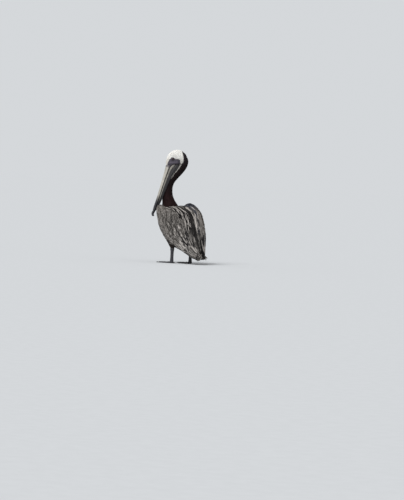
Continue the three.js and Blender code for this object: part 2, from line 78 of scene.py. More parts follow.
def size(name, description, millimetres):
    """A length property, stored in metres."""
    return bpy.props.FloatProperty(
        name=name, description=description, default=millimetres / 1000, min=0.0,
        subtype="DISTANCE", unit="LENGTH", precision=4)


class PelicanSizes(bpy.types.PropertyGroup):
    """Sizes of the coat and of the bare parts."""

    body_coat: size("Body coat", "Depth of the skin below the tips of the body plumage", 6)
    neck_coat: size("Neck coat", "Depth of the skin below the plumage of the neck", 3.2)
    head_coat: size("Head coat", "Depth of the skin below the plumage of the head", 1.6)
    covert_length: size("Covert length", "Length of a small covert of the wing", 27)
    covert_width: size("Covert width", "Width of a small covert of the wing", 5.8)
    scapular_length: size("Scapular length", "Length of the longest scapular plumes", 125)
    scapular_width: size("Scapular width", "Width of a scapular plume", 10.5)
    secondary_length: size("Secondary length", "Length of a secondary beyond the coverts", 138)
    neck_plume: size("Neck plume", "Length of the velvety plumes of the neck", 14)
    crown_plume: size("Crown plume", "Length of the plumes of the crown", 7.5)
    crest_plume: size("Crest plume", "Length of the longest plumes of the nape", 24)
    eye_opening: size("Eye opening", "Width between the lids", 11.4)
    rectrices: bpy.props.IntProperty(
        name="Tail plumes", description="Number of main feathers in the tail", default=20, min=8)


class PelicanColours(bpy.types.PropertyGroup):
    """Colours of the plumage and of the bare parts."""

    crown: colour("Crown", "White of the crown and cheek", 254, 252, 247)
    stripe: colour("Stripe", "White line down the side of the neck", 232, 228, 221)
    hindneck: colour("Hindneck", "Dark maroon of the hindneck", 34, 24, 25)
    foreneck: colour("Foreneck", "Maroon of the lower neck", 43, 25, 26)
    nape: colour("Nape", "Grey brown of the nape", 50, 44, 49)
    silver: colour("Silver", "Pale webs of the mantle and coverts", 224, 217, 210)
    covert: colour("Covert", "Middle grey of the coverts", 140, 133, 127)
    # Near-black, partly the plumes' own dark edges and roots, partly painted shade in the gaps between
    # plumes, in the valley of the back, under the wing's lower edge and round the base of the neck.
    gap: colour("Gap", "Dark down between the plumes", 20, 18, 19)
    flight: colour("Flight", "Slate of the flight feathers", 50, 48, 50)
    # Painted shade on the far shoulder's top, which faces away from the light.
    shoulder: colour("Shoulder", "Blue grey of the far shoulder's cap", 62, 65, 76)
    belly: colour("Belly", "Dark brown of the belly and thighs", 48, 41, 38)
    bill_pale: colour("Pale bill", "Horn colour of the base of the bill", 205, 200, 189)
    bill_dark: colour("Dark bill", "Slate of the tip of the bill", 52, 52, 58)
    pouch: colour("Pouch", "Grey of the pouch", 57, 55, 57)
    face: colour("Face", "Bare skin round the eye", 86, 80, 91)
    leg: colour("Leg", "Slate of the legs and webs", 55, 55, 61)
    claw: colour("Claw", "Dark horn of the claws", 34, 32, 34)
    iris: colour("Iris", "Brown of the iris", 58, 36, 22)
    ground: colour("Ground", "Pale floor and backdrop", 214, 217, 220)


# ---- frames ----------------------------------------------------------------------------
BODY_LIST = math.radians(4)  # the trunk's lean to its left
LIST_HEIGHT = 190  # height of the axis that the lean turns about
HEAD_TURN = math.radians(45)  # from the trunk's heading to the plane of the neck
HEAD_YAW = math.radians(12)  # further turn of the head
NECK_DEPTH = 64  # how far the neck's plane lies beyond the ground point
PIVOT_ACROSS = -22  # of the upright axis through the nape that the head turns about
CULMEN = 292  # bill length along its ridge
BILL_PITCH = math.radians(14)  # of the bill ridge forward of straight down
BILL_BASE = (-112, 549)  # of the ridge, across and up
EYE_PLACE = (-81, 587)  # across and up
EYE_OUT = 25.5  # distance of each eyeball's centre from the head's median plane
EYE_LOW, EYE_HIGH = (np.array(corner) * 1000 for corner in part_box("eye_left"))
EYE_RADIUS = (EYE_HIGH[2] - EYE_LOW[2]) / 2
TARSUS_TOP = 90
LEG_SPREAD = 62
LEG_AHEAD = {1: 8, -1: -14}  # place of the left and right leg along the heading
SIDES = {"left": 1, "right": -1}


def stack(*parts):
    """Joins coordinate arrays into points."""
    return np.stack(np.broadcast_arrays(*parts), axis=-1).astype(float)


def unit(v):
    """Vectors divided by their lengths."""
    return v / np.maximum(np.linalg.norm(v, axis=-1, keepdims=True), 1e-12)


def bird(ahead, left, up):
    """A point ahead of, to the left of and above the ground point."""
    return stack(-np.asarray(ahead), -np.asarray(left), up)


def leaning(ahead, left, up):
    """The same for trunk, wings and tail, turned about the heading by the list."""
    rise = np.asarray(up) - LIST_HEIGHT
    over = left * math.cos(BODY_LIST) + rise * math.sin(BODY_LIST)
    above = LIST_HEIGHT + rise * math.cos(BODY_LIST) - left * math.sin(BODY_LIST)
    return bird(ahead, over, above)


def about_z(angle):
    """Unit vectors across and deep, turned about the vertical."""
    c, s = math.cos(angle), math.sin(angle)
    return np.array([c, s, 0.0]), np.array([-s, c, 0.0])


ACROSS, DEEP = about_z(HEAD_TURN)
HEAD_ACROSS, HEAD_DEEP = about_z(HEAD_TURN + HEAD_YAW)
UP = np.array([0.0, 0.0, 1.0])
HEAD_PIVOT = PIVOT_ACROSS * ACROSS + NECK_DEPTH * DEEP


def neck_place(across, up, deep=0.0):
    """A point of the neck's plane: up, plus across and deep times their directions."""
    across, up, deep = (np.asarray(v, float)[..., None] for v in (across, up, deep))
    return up * UP + across * ACROSS + (NECK_DEPTH + deep) * DEEP


def head_place(across, up, deep=0.0):
    """The same in the head's frame, turned further about the vertical through the nape."""
    across, up, deep = (np.asarray(v, float)[..., None] for v in (across, up, deep))
    return HEAD_PIVOT + (across - PIVOT_ACROSS) * HEAD_ACROSS + deep * HEAD_DEEP + up * UP


def eye_place(side, across, up, out):
    """A point across, up and outwards from the centre of an eyeball."""
    return head_place(EYE_PLACE[0] + across, EYE_PLACE[1] + up, -side * (EYE_OUT + out))


def bill_place(along, below, deep):
    """A point of the bill: along its ridge from the base, below the ridge, and deep."""
    c, s = math.cos(BILL_PITCH), math.sin(BILL_PITCH)
    along, below = np.asarray(along, float), np.asarray(below, float)
    return head_place(BILL_BASE[0] - along * s + below * c, BILL_BASE[1] - along * c - below * s, deep)


# Shift from the bird's frame to the model's: it puts the left eyeball where its solid is.
SHIFT = (EYE_LOW + EYE_HIGH) / 2 - head_place(*EYE_PLACE, -EYE_OUT)


# ---- curves ----------------------------------------------------------------------------
def blend_four(p0, p1, p2, p3, w):
    """The Catmull-Rom cubic: passes p1 and p2, with slopes half of p2-p0 and p3-p1."""
    return 0.5 * (2 * p1 + (p2 - p0) * w + (2 * p0 - 5 * p1 + 4 * p2 - p3) * w**2
                  + (3 * p1 - p0 - 3 * p2 + p3) * w**3)


def curve(stations):
    """A smooth curve through evenly numbered stations, as a function of the share 0..1.
    Beyond its ends it goes straight on."""
    points = np.asarray(stations, float)
    plain = points.ndim == 1
    if plain:
        points = points[:, None]
    padded = np.vstack([2 * points[0] - points[1], points, 2 * points[-1] - points[-2]])
    spans = len(points) - 1
    slopes = (points[1] - points[0]) * spans, (points[-1] - points[-2]) * spans

    def at(share):
        share = np.asarray(share, float)
        inside = np.clip(share, 0, 1)
        k = np.minimum((inside * spans).astype(int), spans - 1)
        w = (inside * spans - k)[..., None]
        value = blend_four(padded[k], padded[k + 1], padded[k + 2], padded[k + 3], w)
        value = value + np.minimum(share, 0)[..., None] * slopes[0]
        value = value + np.maximum(share - 1, 0)[..., None] * slopes[1]
        return value[..., 0] if plain else value

    return at


def across_four(points, t):
    """The same curve through the four points of each row, at share t of the row."""
    padded = np.concatenate([2 * points[..., :1, :] - points[..., 1:2, :], points,
                             2 * points[..., 3:, :] - points[..., 2:3, :]], axis=-2)
    inside = np.clip(t, 0, 1) * 3
    k = np.minimum(inside.astype(int), 2)

    def pick(step):
        return np.take_along_axis(padded, (k + step)[..., None, None], axis=-2)[..., 0, :]

    value = blend_four(pick(0), pick(1), pick(2), pick(3), (inside - k)[..., None])
    value = value + np.minimum(t, 0)[..., None] * 3 * (points[..., 1, :] - points[..., 0, :])
    return value + np.maximum(t - 1, 0)[..., None] * 3 * (points[..., 3, :] - points[..., 2, :])


def round_of(turn, power):
    """A superellipse: cosine and sine of the turn, each to the power 2/power with its sign."""
    c, s = np.cos(2 * np.pi * turn), np.sin(2 * np.pi * turn)
    return np.sign(c) * np.abs(c) ** (2 / power), np.sign(s) * np.abs(s) ** (2 / power)


def soft(x, low, high):
    """Rises smoothly from 0 at low to 1 at high."""
    x = np.clip((np.asarray(x, float) - low) / (high - low), 0, 1)
    return x * x * (3 - 2 * x)


def bell(x, place, width):
    """Exp of minus the square of the distance from a place, in widths."""
    return np.exp(-((x - place) / width) ** 2)


def toward(tone, other, share):
    """A tone mixed into another by a share for each row."""
    return tone + (other - tone) * np.asarray(share, float)[..., None]


def off_ridge(t):
    """Shares round a section from its ridge at t=0: 0 on the ridge and 1 opposite it."""
    return np.abs((t + 0.5) % 1 - 0.5) * 2


def on_arrays(surface):
    """Lets the two shares of a surface be numbers or arrays of any shapes that fit."""

    def at(s, t, *inset):
        return surface(*np.broadcast_arrays(np.asarray(s, float), np.asarray(t, float)), *inset)

    return at


# ---- surfaces of the bird --------------------------------------------------------------
BACK = curve([[62, 316], [28, 320], [-12, 312], [-46, 294], [-72, 262], [-88, 224], [-99, 184],
              [-111, 144], [-122, 108], [-132, 86]])
BELLY = curve([[114, 318], [130, 296], [133, 266], [122, 232], [100, 196], [72, 160], [42, 128],
               [4, 102], [-46, 80], [-92, 66]])
TRUNK_HALF_WIDTH = curve([34, 66, 89, 100, 103, 101, 94, 78, 54, 32])

WING_ROWS = [curve(line) for line in (
    [[94, 62, 315], [106, 88, 317], [120, 84, 290], [108, 88, 252], [88, 94, 208], [56, 94, 164],
     [22, 90, 128], [-26, 84, 100], [-78, 68, 75], [-122, 48, 47], [-154, 29, 29]],
    [[84, 64, 318], [92, 100, 329], [84, 114, 296], [58, 120, 258], [28, 122, 220], [-6, 118, 178],
     [-38, 108, 142], [-72, 88, 108], [-104, 68, 80], [-134, 45, 53], [-160, 25, 34]],
    [[70, 62, 320], [72, 94, 334], [36, 100, 326], [-2, 102, 305], [-38, 102, 276], [-64, 98, 236],
     [-84, 92, 194], [-102, 84, 150], [-120, 66, 106], [-144, 40, 68], [-164, 20, 40]],
    [[54, 56, 320], [52, 80, 332], [14, 66, 330], [-26, 56, 314], [-60, 50, 285], [-82, 48, 245],
     [-98, 48, 202], [-112, 44, 158], [-128, 36, 116], [-148, 25, 78], [-167, 14, 46]])]
CAPE_ROWS = WING_ROWS[1:] + [curve(
    [[58, 12, 315], [50, 10, 317], [14, 8, 316], [-24, 8, 305], [-58, 8, 281], [-78, 8, 246],
     [-92, 8, 203], [-104, 8, 160], [-117, 8, 118], [-132, 8, 86], [-148, 8, 58]])]
WING_THICKNESS = curve([9, 14, 28, 38, 40, 40, 36, 28, 17, 9, 4])
FAR_SHOULDER_BACK = 38  # how far the right shoulder is drawn back
WING_EDGE = 0.1  # share of the wing's breadth over which a feather rolls round its edge
WING_ROLL = 6.5  # radius of the roll
WING_TUCK = 12  # how far it goes on inwards over the same share again
WING_DIPS = ((0, 0.1), (0, 0.1), (12, 0.2), (20, 0.12))  # how far each line sinks, and where
CAPE_DIPS = (*WING_DIPS[1:], (0, 0.1))
DIP_WIDTH = 0.085

TAIL_ROOT = (-104, 84)  # ahead and up
TAIL_TIP = (-169, 24)
TAIL_WIDTHS = (62, 108)
TAIL_ARCH = 7  # how far its sides lie below its middle
TAIL_ROUNDING = 0.12  # share by which its sides are shorter

TRUNK_ROUND, HEAD_ROUND, BILL_ROUND = 2.35, 2.15, 2.3  # powers of the superellipses, 2 for an ellipse
NECK_FLATNESS = 0.94
THIGH_FLATNESS = 0.82

NECK_LINE = [[-78, 316], [-86, 344], [-93, 374], [-95, 405], [-92, 436], [-80, 466],
             [-58, 494], [-34, 521], [-15, 548], [-8, 575], [-16, 598]]
NECK_RADIUS = curve([44, 34, 28.5, 26, 24.5, 23, 21.5, 20.5, 20, 20.5, 19])
neck_centre = curve(NECK_LINE)

CROWN = curve([[6, 590], [-4, 616], [-24, 633], [-46, 640], [-70, 636], [-92, 622], [-107, 600],
               [-112, 574], [-113, 552]])
JAW = curve([[-6, 572], [-14, 560], [-28, 556], [-42, 556], [-56, 555], [-69, 551], [-80, 545],
             [-88, 540], [-93, 537]])
HEAD_HALF_WIDTH = curve([14, 24, 30, 32.5, 32.5, 29.5, 25, 21.5, 19])


def trunk(s, t, inset=0.0):
    """A rounded section between the back and belly lines at s; t turns from the back to the left."""
    back, belly = BACK(s), BELLY(s)
    depth = (back - belly) / 2
    half = np.linalg.norm(depth, axis=-1)
    c, e = round_of(t, TRUNK_ROUND)
    profile = (back + belly) / 2 + depth / half[..., None] * ((half - inset) * c)[..., None]
    return leaning(profile[..., 0], (TRUNK_HALF_WIDTH(s) - inset) * e, profile[..., 1])


def wing(side):
    """The outer surface of a folded wing: across four lines from shoulder (s=0) to tip, t from
    the lower edge to the dorsal edge.  Past its edges it rolls inwards through a quarter circle
    and then goes straight in."""
    return folded(side, WING_ROWS, WING_ROLL, WING_DIPS)


def cape(side):
    """The same from the middle of the wing over its dorsal edge to the middle of the back."""
    return folded(side, CAPE_ROWS, 1.0, CAPE_DIPS)


def folded(side, lines, radius, dips):
    """A surface through four lines of one side, drawn back at the far shoulder; on the near
    side each line sinks by its own depth, as a bell about its own place along."""

    @on_arrays
    def at(s, t, sunk=0.0):
        rows = np.stack([row(s) for row in lines], axis=-2)
        if side > 0:
            depth, place = np.transpose(dips)
            rows[..., 2] -= depth * bell(s[..., None], place, DIP_WIDTH)
        p = across_four(rows, np.clip(t, 0, 1))
        outwards = unit(np.where(t[..., None] > 0.5, rows[..., 3, :] - rows[..., 2, :],
                                 rows[..., 0, :] - rows[..., 1, :]))
        inwards = unit(stack(p[..., 0], np.zeros_like(s), np.minimum(p[..., 2], 250)) - p)
        square = unit(inwards - outwards * (inwards * outwards).sum(-1, keepdims=True))
        past = np.maximum(np.maximum(t - 1, -t), 0) / WING_EDGE
        bend = np.minimum(past, 1) * math.pi / 2
        tucked = radius * (1 - np.cos(bend)) + WING_TUCK * np.maximum(past - 1, 0)
        p = p + outwards * (radius * np.sin(bend))[..., None] + square * tucked[..., None]
        p = p + inwards * np.asarray(sunk, float)[..., None]
        back = FAR_SHOULDER_BACK * np.maximum(1 - s, 0) ** 2 if side < 0 else 0.0
        return leaning(p[..., 0] - back, side * p[..., 1], p[..., 2])

    return at


def tail(s, t):
    """The fanned tail: straight from root to tip along s, widening, arched across t."""
    across = 2 * t - 1
    reach = s * (1 - TAIL_ROUNDING * across**2)
    width = (TAIL_WIDTHS[0] + (TAIL_WIDTHS[1] - TAIL_WIDTHS[0]) * s) / 2
    ahead = TAIL_ROOT[0] + (TAIL_TIP[0] - TAIL_ROOT[0]) * reach
    up = TAIL_ROOT[1] + (TAIL_TIP[1] - TAIL_ROOT[1]) * reach
    return leaning(ahead, width * across, up - TAIL_ARCH * across**2)


def neck(s, t, inset=0.0):
    """Circles about the neck's line; t turns from the front to the far side."""
    line = neck_centre(s)
    ahead = neck_centre(np.asarray(s) + 0.004) - neck_centre(np.asarray(s) - 0.004)
    along = unit(ahead[..., :1] * ACROSS + ahead[..., 1:] * UP)
    front = unit(np.cross(along, DEEP))
    radius = NECK_RADIUS(s) - inset
    c, e = round_of(t, 2)
    out = front * (radius * c)[..., None] + DEEP * (NECK_FLATNESS * radius * e)[..., None]
    return neck_place(line[..., 0], line[..., 1]) + out


def head(s, t, inset=0.0):
    """Rounded sections between crown and jaw from nape to bill; t turns to the far side."""
    crown, jaw = CROWN(s), JAW(s)
    depth = (crown - jaw) / 2
    half = np.linalg.norm(depth, axis=-1)
    c, e = round_of(t, HEAD_ROUND)
    middle = (crown + jaw) / 2 + depth / half[..., None] * ((half - inset) * c)[..., None]
    return head_place(middle[..., 0], middle[..., 1], (HEAD_HALF_WIDTH(s) - inset) * e)


def thigh(side):
    """Flattened circles down the thigh, from inside the flank to the ankle."""
    ahead = LEG_AHEAD[side]
    line = curve([[ahead + 14, 62, 168], [ahead + 8, 64, 134], [ahead + 2, 64, 108],
                  [ahead, LEG_SPREAD, 86]])
    radius = curve([40, 35, 23, 12])

    @on_arrays
    def at(s, t, inset=0.0):
        centre, half = line(s), radius(s) - inset
        c, e = round_of(t, 2)
        return bird(centre[..., 0], side * centre[..., 1], centre[..., 2]) + stack(
            half * c, half * THIGH_FLATNESS * e, 0 * half)

    return at


# ---- meshes ----------------------------------------------------------------------------
def facing_out(points, faces):
    """Turns every face over if the signed volume of the shape is negative."""
    volume = 0.0
    for group in faces:
        a, b, c = (points[group[:, k]] for k in (0, 1, 2))
        volume += np.einsum("ij,ij->", a, np.cross(b, c))
        if group.shape[1] == 4:
            volume += np.einsum("ij,ij->", a, np.cross(c, points[group[:, 3]]))
    return faces if volume > 0 else [group[:, ::-1] for group in faces]


def placed(name, data):
    """Puts an object of the data into the scene."""
    thing = bpy.data.objects.new(name, data)
    bpy.context.scene.collection.objects.link(thing)
    return thing


def metres(points):
    """Points of the bird's frame as the flat metres of a mesh."""
    return ((points + SHIFT) / 1000).astype(np.float32).ravel()


def put_mesh(name, points, faces, tint=None, maps=(), crease=None):
    """Makes an object from points in millimetres and groups of faces of one size each."""
    mesh = bpy.data.meshes.new(name)
    loops = np.concatenate([group.ravel() for group in faces]).astype(np.int32)
    sizes = np.concatenate([np.full(len(group), group.shape[1]) for group in faces])
    starts = np.concatenate([[0], np.cumsum(sizes)[:-1]]).astype(np.int32)
    mesh.vertices.add(len(points))
    mesh.vertices.foreach_set("co", metres(points))
    mesh.loops.add(len(loops))
    mesh.loops.foreach_set("vertex_index", loops)
    mesh.polygons.add(len(sizes))
    mesh.polygons.foreach_set("loop_start", starts)
    mesh.polygons.foreach_set("use_smooth", np.ones(len(sizes), bool))
    mesh.update(calc_edges=True)
    if tint is not None:
        paint(mesh, tint)
    for label, uv in maps:
        layer = mesh.uv_layers.new(name=label)
        layer.data.foreach_set("uv", uv[loops].astype(np.float32).ravel())
    mesh.validate()
    if crease is not None:
        mesh.set_sharp_from_angle(angle=math.radians(crease))
    return placed(name, mesh)


def paint(mesh, tint):
    """Stores a colour for each vertex."""
    layer = mesh.attributes.new("Tint", "FLOAT_COLOR", "POINT")
    rgba = np.ones((len(mesh.vertices), 4), np.float32)
    rgba[:, :3] = np.clip(tint, 0, 1)
    layer.data.foreach_set("color", rgba.ravel())


def grid_faces(rows, columns, first=0):
    """Quads of a grid whose columns close on themselves."""
    r, c = np.meshgrid(np.arange(rows - 1), np.arange(columns), indexing="ij")
    a = r * columns + c
    b = r * columns + (c + 1) % columns
    return np.stack([a, b, b + columns, a + columns], axis=-1).reshape(-1, 4) + first


def closed_grid(surface, rows, columns):
    """Points of a closed loft: rings of the surface, and a hub in the middle of each end."""
    s, t = np.meshgrid(np.linspace(0, 1, rows), np.arange(columns) / columns, indexing="ij")
    ring = surface(s, t)
    points = np.vstack([ring.reshape(-1, 3), ring[0].mean(0), ring[-1].mean(0)])
    hub = rows * columns
    i = np.arange(columns)
    j = (i + 1) % columns
    low = np.stack([j, i, np.full(columns, hub)], axis=-1)
    last = hub - columns
    high = np.stack([last + i, last + j, np.full(columns, hub + 1)], axis=-1)
    faces = facing_out(points, [grid_faces(rows, columns), np.vstack([low, high])])
    shares = np.vstack([np.stack([t.ravel(), s.ravel()], axis=-1), [[0.5, 0.0], [0.5, 1.0]]])
    return points, faces, shares


def ridden(thing, finish, slot, *nodes):
    """Gives a piece its finish, fixes it to the body, and hides the solid parts that it stands for. The slot
    is not used.
    """
    thing.data.materials.append(finish)
    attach(thing, "root")
    if nodes:
        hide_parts(*nodes)
    return thing


def bare_piece(name, surface, rows, columns, tint, finish, slot, *nodes):
    """A closed loft as one piece, tinted by a formula of its shares s and t."""
    points, faces, shares = closed_grid(surface, rows, columns)
    piece = put_mesh(name, points, faces, tint(shares[:, 1], shares[:, 0]))
    ridden(piece, finish, slot, *nodes)


def fused(name, shapes, voxel, smoothing):
    """Joins closed shapes into one skin: voxel remesh, then the vertices relax."""
    offset, points, faces = 0, [], []
    for shape_points, shape_faces in shapes:
        points.append(shape_points)
        faces += [group + offset for group in shape_faces]
        offset += len(shape_points)
    thing = put_mesh(name, np.vstack(points), faces)
    remesh = thing.modifiers.new("Remesh", "REMESH")
    remesh.mode = "VOXEL"
    remesh.voxel_size = voxel / 1000
    relax = thing.modifiers.new("Relax", "SMOOTH")
    relax.factor = 0.5
    relax.iterations = smoothing
    evaluated = thing.evaluated_get(bpy.context.evaluated_depsgraph_get())
    mesh = bpy.data.meshes.new_from_object(evaluated)
    thing.modifiers.clear()
    old, thing.data = thing.data, mesh
    bpy.data.meshes.remove(old)
    mesh.name = name
    mesh.polygons.foreach_set("use_smooth", np.ones(len(mesh.polygons), bool))
    return thing


def vertices_of(mesh):
    """A mesh's vertices in millimetres of the bird's frame."""
    flat = np.empty(len(mesh.vertices) * 3, np.float32)
    mesh.vertices.foreach_get("co", flat)
    return flat.reshape(-1, 3).astype(float) * 1000 - SHIFT


# ---- markings --------------------------------------------------------------------------
STRIPE_BACK = curve([[-80, 471], [-72, 488], [-56, 509], [-43, 527], [-27, 550], [-21, 567],
                     [-20, 590], [-24, 612], [-29, 632], [-30, 645]])
STRIPE_WIDTH = 10
STRIPE_END = 466  # height at which the white line ends
THROAT_LINE = ((-96, 541), (-66, 570), (-50, 577), (-38, 572), (-27, 553))  # edge of the white cheek
# Outline of the bare patch, across and up from the eye.
FACE_PATCH = np.array([[-23, -16], [-18, -4], [-9, 4], [0, 8], [8, 5], [16, 0], [28, 1], [38, -1],
                       [45, -7], [43, -16], [20, -26], [0, -40], [-14, -53], [-27, -49], [-29, -38]], float)


def inside_patch(across, up):
    """Distance inside the bare patch's outline (positive) or outside it (negative)."""
    x, y = across - EYE_PLACE[0], up - EYE_PLACE[1]
    nearest = np.full(x.shape, 1e9)
    crossings = np.zeros(x.shape, int)
    for (ax, ay), (bx, by) in zip(FACE_PATCH, np.roll(FACE_PATCH, -1, axis=0)):
        run, rise = bx - ax, by - ay
        along = np.clip(((x - ax) * run + (y - ay) * rise) / (run**2 + rise**2), 0, 1)
        nearest = np.minimum(nearest, np.hypot(x - ax - along * run, y - ay - along * rise))
        if ay != by:
            crossings += ((ay > y) != (by > y)) & (x < run * (y - ay) / rise + ax)
    return np.where(crossings % 2 == 1, nearest, -nearest)


def head_shares(points):
    """Across, up and deep in the head's frame of points of the bird."""
    rel = points - HEAD_PIVOT
    return rel @ HEAD_ACROSS + PIVOT_ACROSS, points[..., 2], rel @ HEAD_DEEP


def bare_face(points):
    """How far inside the bare skin of the face or throat a point lies."""
    across, up, _ = head_shares(points)
    patch = inside_patch(across, up)
    throat_up = np.interp(across, *zip(*THROAT_LINE))
    throat = np.minimum(throat_up - up, 0.7 * (-30 - across))
    return np.maximum(patch, np.where(up > 500, throat, -9))


def neck_markings(points, hues):
    """White face and neck line, dark maroon hindneck, by place across and up."""
    across_head, up, _ = head_shares(points)
    across = np.where(up > 560, across_head, points @ ACROSS)
    heights = np.linspace(0, 1, 60)
    line = STRIPE_BACK(heights)
    order = np.argsort(line[:, 1])
    back = np.interp(up, line[order, 1], line[order, 0])
    white = soft(back - across, -1.5, 1.5) * soft(up, STRIPE_END, STRIPE_END + 14)
    width = STRIPE_WIDTH + 90 * soft(up, 554, 566)
    white = white * (1 - soft(back - across, width - 1.5, width + 1.5))
    white = np.maximum(white, soft(-across, 62, 68) * soft(up, 530, 536))
    dark = toward(hues.hindneck, hues.foreneck, 1 - soft(up, 360, 440))
    dark = toward(dark, hues.nape, soft(up, 520, 600))
    return toward(dark, toward(hues.stripe, hues.crown, soft(up, 560, 600)), white)


def neck_base_shade(points):
    """Painted shade round the base of the neck: 1 beside it, falling to 0 within a hand's breadth of its
    axis.
    """
    base = neck_place(-78, 316)
    beside = 1 - soft(np.hypot(points[..., 0] - base[0], points[..., 1] - base[1]), 46, 84)
    return beside * soft(points[..., 2], 250, 305)


def skin_markings(points, hues):
    """The plumage's colours carried on to the skin, darker where the down shades them."""
    body = toward(hues.covert * 0.45, hues.belly * 0.8, 1 - soft(points[..., 2], 120, 200))
    tint = toward(body, 0.8 * neck_markings(points, hues), soft(points[..., 2], 322, 352))
    across, up, _ = head_shares(points)
    x, y = across - EYE_PLACE[0], up - EYE_PLACE[1]
    # Painted shade in a ring where the lids meet the face, and a painted highlight along a fold below the
    # eye.
    ring = bell(np.hypot(x, 1.2 * y), 11, 4.5)
    fold = bell(y, 0.1 * x - 20, 4.5) * soft(x, -26, -8) * (1 - soft(x, 24, 38))
    shade = 0.95 - 0.2 * ring + 0.9 * fold - 0.3 * soft(-x, 10, 24) - 0.25 * soft(x, 22, 38)
    return toward(tint, hues.face * shade[..., None], soft(bare_face(points), -0.5, 1.0))


# ---- plumage ---------------------------------------------------------------------------
# Cross-sections of a vane as (across, rise): the left edge, over the shaft, the right edge
# and, on the wider ones, the underside of the shaft.
TUFT = np.array([[-1, 0], [0, 1], [1, 0]])
PLUME = np.array([[-1, 0], [0, 1], [1, 0], [0, -0.35]])
BROAD = np.array([[-1, 0], [-0.52, 0.62], [0, 1], [0.52, 0.62], [1, 0], [0, -0.3]])
PATCH = 0.003  # size of a tuft on the bake map
SHARE_STEP = 2e-3  # share over which a surface's slopes are measured
LONGEST_RUN = (0.6, 0.4)  # most that a vane runs along s and along t

# A kind of vane: stations along it, section, rise of the shaft, outline (see lance), share by
# which its edges fray and the seed for that, lift of its root, and the power that its lift follows.
Kind = namedtuple("Kind", "steps section arch outline fray seed low bow", defaults=(1.6,))
DOWN = Kind(4, PLUME, 0.5, (0.35, 0.4, 1.0), 0.0, 1, -5.0)
SMALL_COVERT = Kind(6, PLUME, 0.8, (0.4, 0.3, 0.8), 0.25, 5, -3.4)
LARGE_COVERT = Kind(9, BROAD, 1.1, (0.5, 0.4, 1.6), 0.15, 7, -3.8)
SECONDARY = Kind(18, BROAD, 1.3, (0.6, 0.5, 2.2), 0.08, 3, -4.5)
PRIMARY = Kind(20, BROAD, 1.2, (0.7, 0.6, 1.6), 0.06, 4, -3.6)
TERTIAL = Kind(16, BROAD, 1.3, (0.5, 0.45, 1.5), 0.1, 8, -3.4)
MANTLE = Kind(7, PLUME, 0.8, (0.4, 0.3, 0.8), 0.2, 9, -4.5)
SCAPULAR = Kind(13, BROAD, 1.1, (0.35, 0.35, 0.7), 0.12, 10, -3.5, 1.0)
BREAST = Kind(4, TUFT, 0.4, (0.6, 0.4, 0.6), 0.2, 12, -3.6)
THIGH = Kind(5, PLUME, 0.6, (0.45, 0.35, 0.8), 0.25, 13, -2.6)
FLANK = Kind(6, PLUME, 0.6, (0.5, 0.35, 0.8), 0.2, 31, -2.5)
RECTRIX = Kind(16, BROAD, 1.3, (0.6, 0.7, 2.0), 0.05, 14, 0.5, 1.0)
TAIL_COVERT = Kind(8, PLUME, 0.8, (0.5, 0.4, 0.9), 0.15, 15, 1.0, 1.0)
OVERLAP = Kind(12, BROAD, 1.0, (0.5, 0.45, 1.2), 0.15, 16, 1.5, 1.0)
NECK_PLUME = Kind(3, TUFT, 0.25, (0.35, 0.4, 0.6), 0.1, 18, -2.2)
COLLAR = Kind(6, PLUME, 0.6, (0.45, 0.35, 0.8), 0.2, 19, -1.0, 1.3)
VELVET = Kind(3, TUFT, 0.3, (0.6, 0.4, 0.7), 0.1, 24, -1.2)
CREST = Kind(7, TUFT, 0.4, (0.5, 0.3, 0.7), 0.25, 25, -1.0, 1.4)


def lance(k, root, widest, blunt):
    """Half-width along a vane: eases up to the widest place, then narrows to the tip as a
    power of an ellipse; a large bluntness gives a square end."""
    rise = root + (1 - root) * np.sin(np.pi / 2 * np.clip(k / widest, 0, 1))
    fall = np.clip(1 - np.clip((k - widest) / (1 - widest), 0, 1) ** (2 * blunt), 0, 1) ** (1 / (1 + blunt))
    return np.where(k < widest, rise, fall)


def ways(steps):
    """Shares of the way along a vane, closer together towards its tip."""
    return 1 - (1 - np.linspace(0, 1, steps)) ** 1.5


def ring_shares(around):
    """Shares of the way across a vane of its section's points, the underside of the shaft last."""
    return np.linspace(0, 1, 3) if around == 3 else np.append(np.linspace(0, 1, around - 1), 0.5)


def slopes(surface, s, t):
    """How fast a surface's points move with s and with t."""
    along_s = surface(s + SHARE_STEP, t) - surface(s - SHARE_STEP, t)
    along_t = surface(s, t + SHARE_STEP) - surface(s, t - SHARE_STEP)
    return along_s / (2 * SHARE_STEP), along_t / (2 * SHARE_STEP)


def framed(surface, out, s, t, k):
    """Lines on a surface with the shares s and t at the ways k, and their side and out
    directions: the out direction is square to the line and as square to the surface as it can be."""
    centre = surface(s, t)
    tangent = unit(np.gradient(centre, k, axis=1))
    sideways = unit(np.cross(out * unit(np.cross(*slopes(surface, s, t))), tangent))
    return centre, sideways, np.cross(tangent, sideways)


def lay(surface, out, s, t, length, heading, kind, tip_lift):
    """Centre lines of vanes rooted at (s, t) of a surface, running with its s and turned
    by heading towards its t, and lifted off it from root to tip as a power of the way."""
    s, t, length, heading, tip_lift = (
        np.array(v, float)[:, None] for v in np.broadcast_arrays(s, t, length, heading, tip_lift))
    pace_s, pace_t = (np.maximum(np.linalg.norm(v, axis=-1), 1) for v in slopes(surface, s, t))
    run_s = np.clip(length * np.cos(heading) / pace_s, -LONGEST_RUN[0], LONGEST_RUN[0])
    run_t = np.clip(length * np.sin(heading) / pace_t, -LONGEST_RUN[1], LONGEST_RUN[1])
    k = ways(kind.steps)
    centre, sideways, normal = framed(surface, out, s + run_s * k, t + run_t * k, k)
    lift = kind.low + (tip_lift - kind.low) * k**kind.bow
    return centre + normal * lift[..., None], sideways, normal


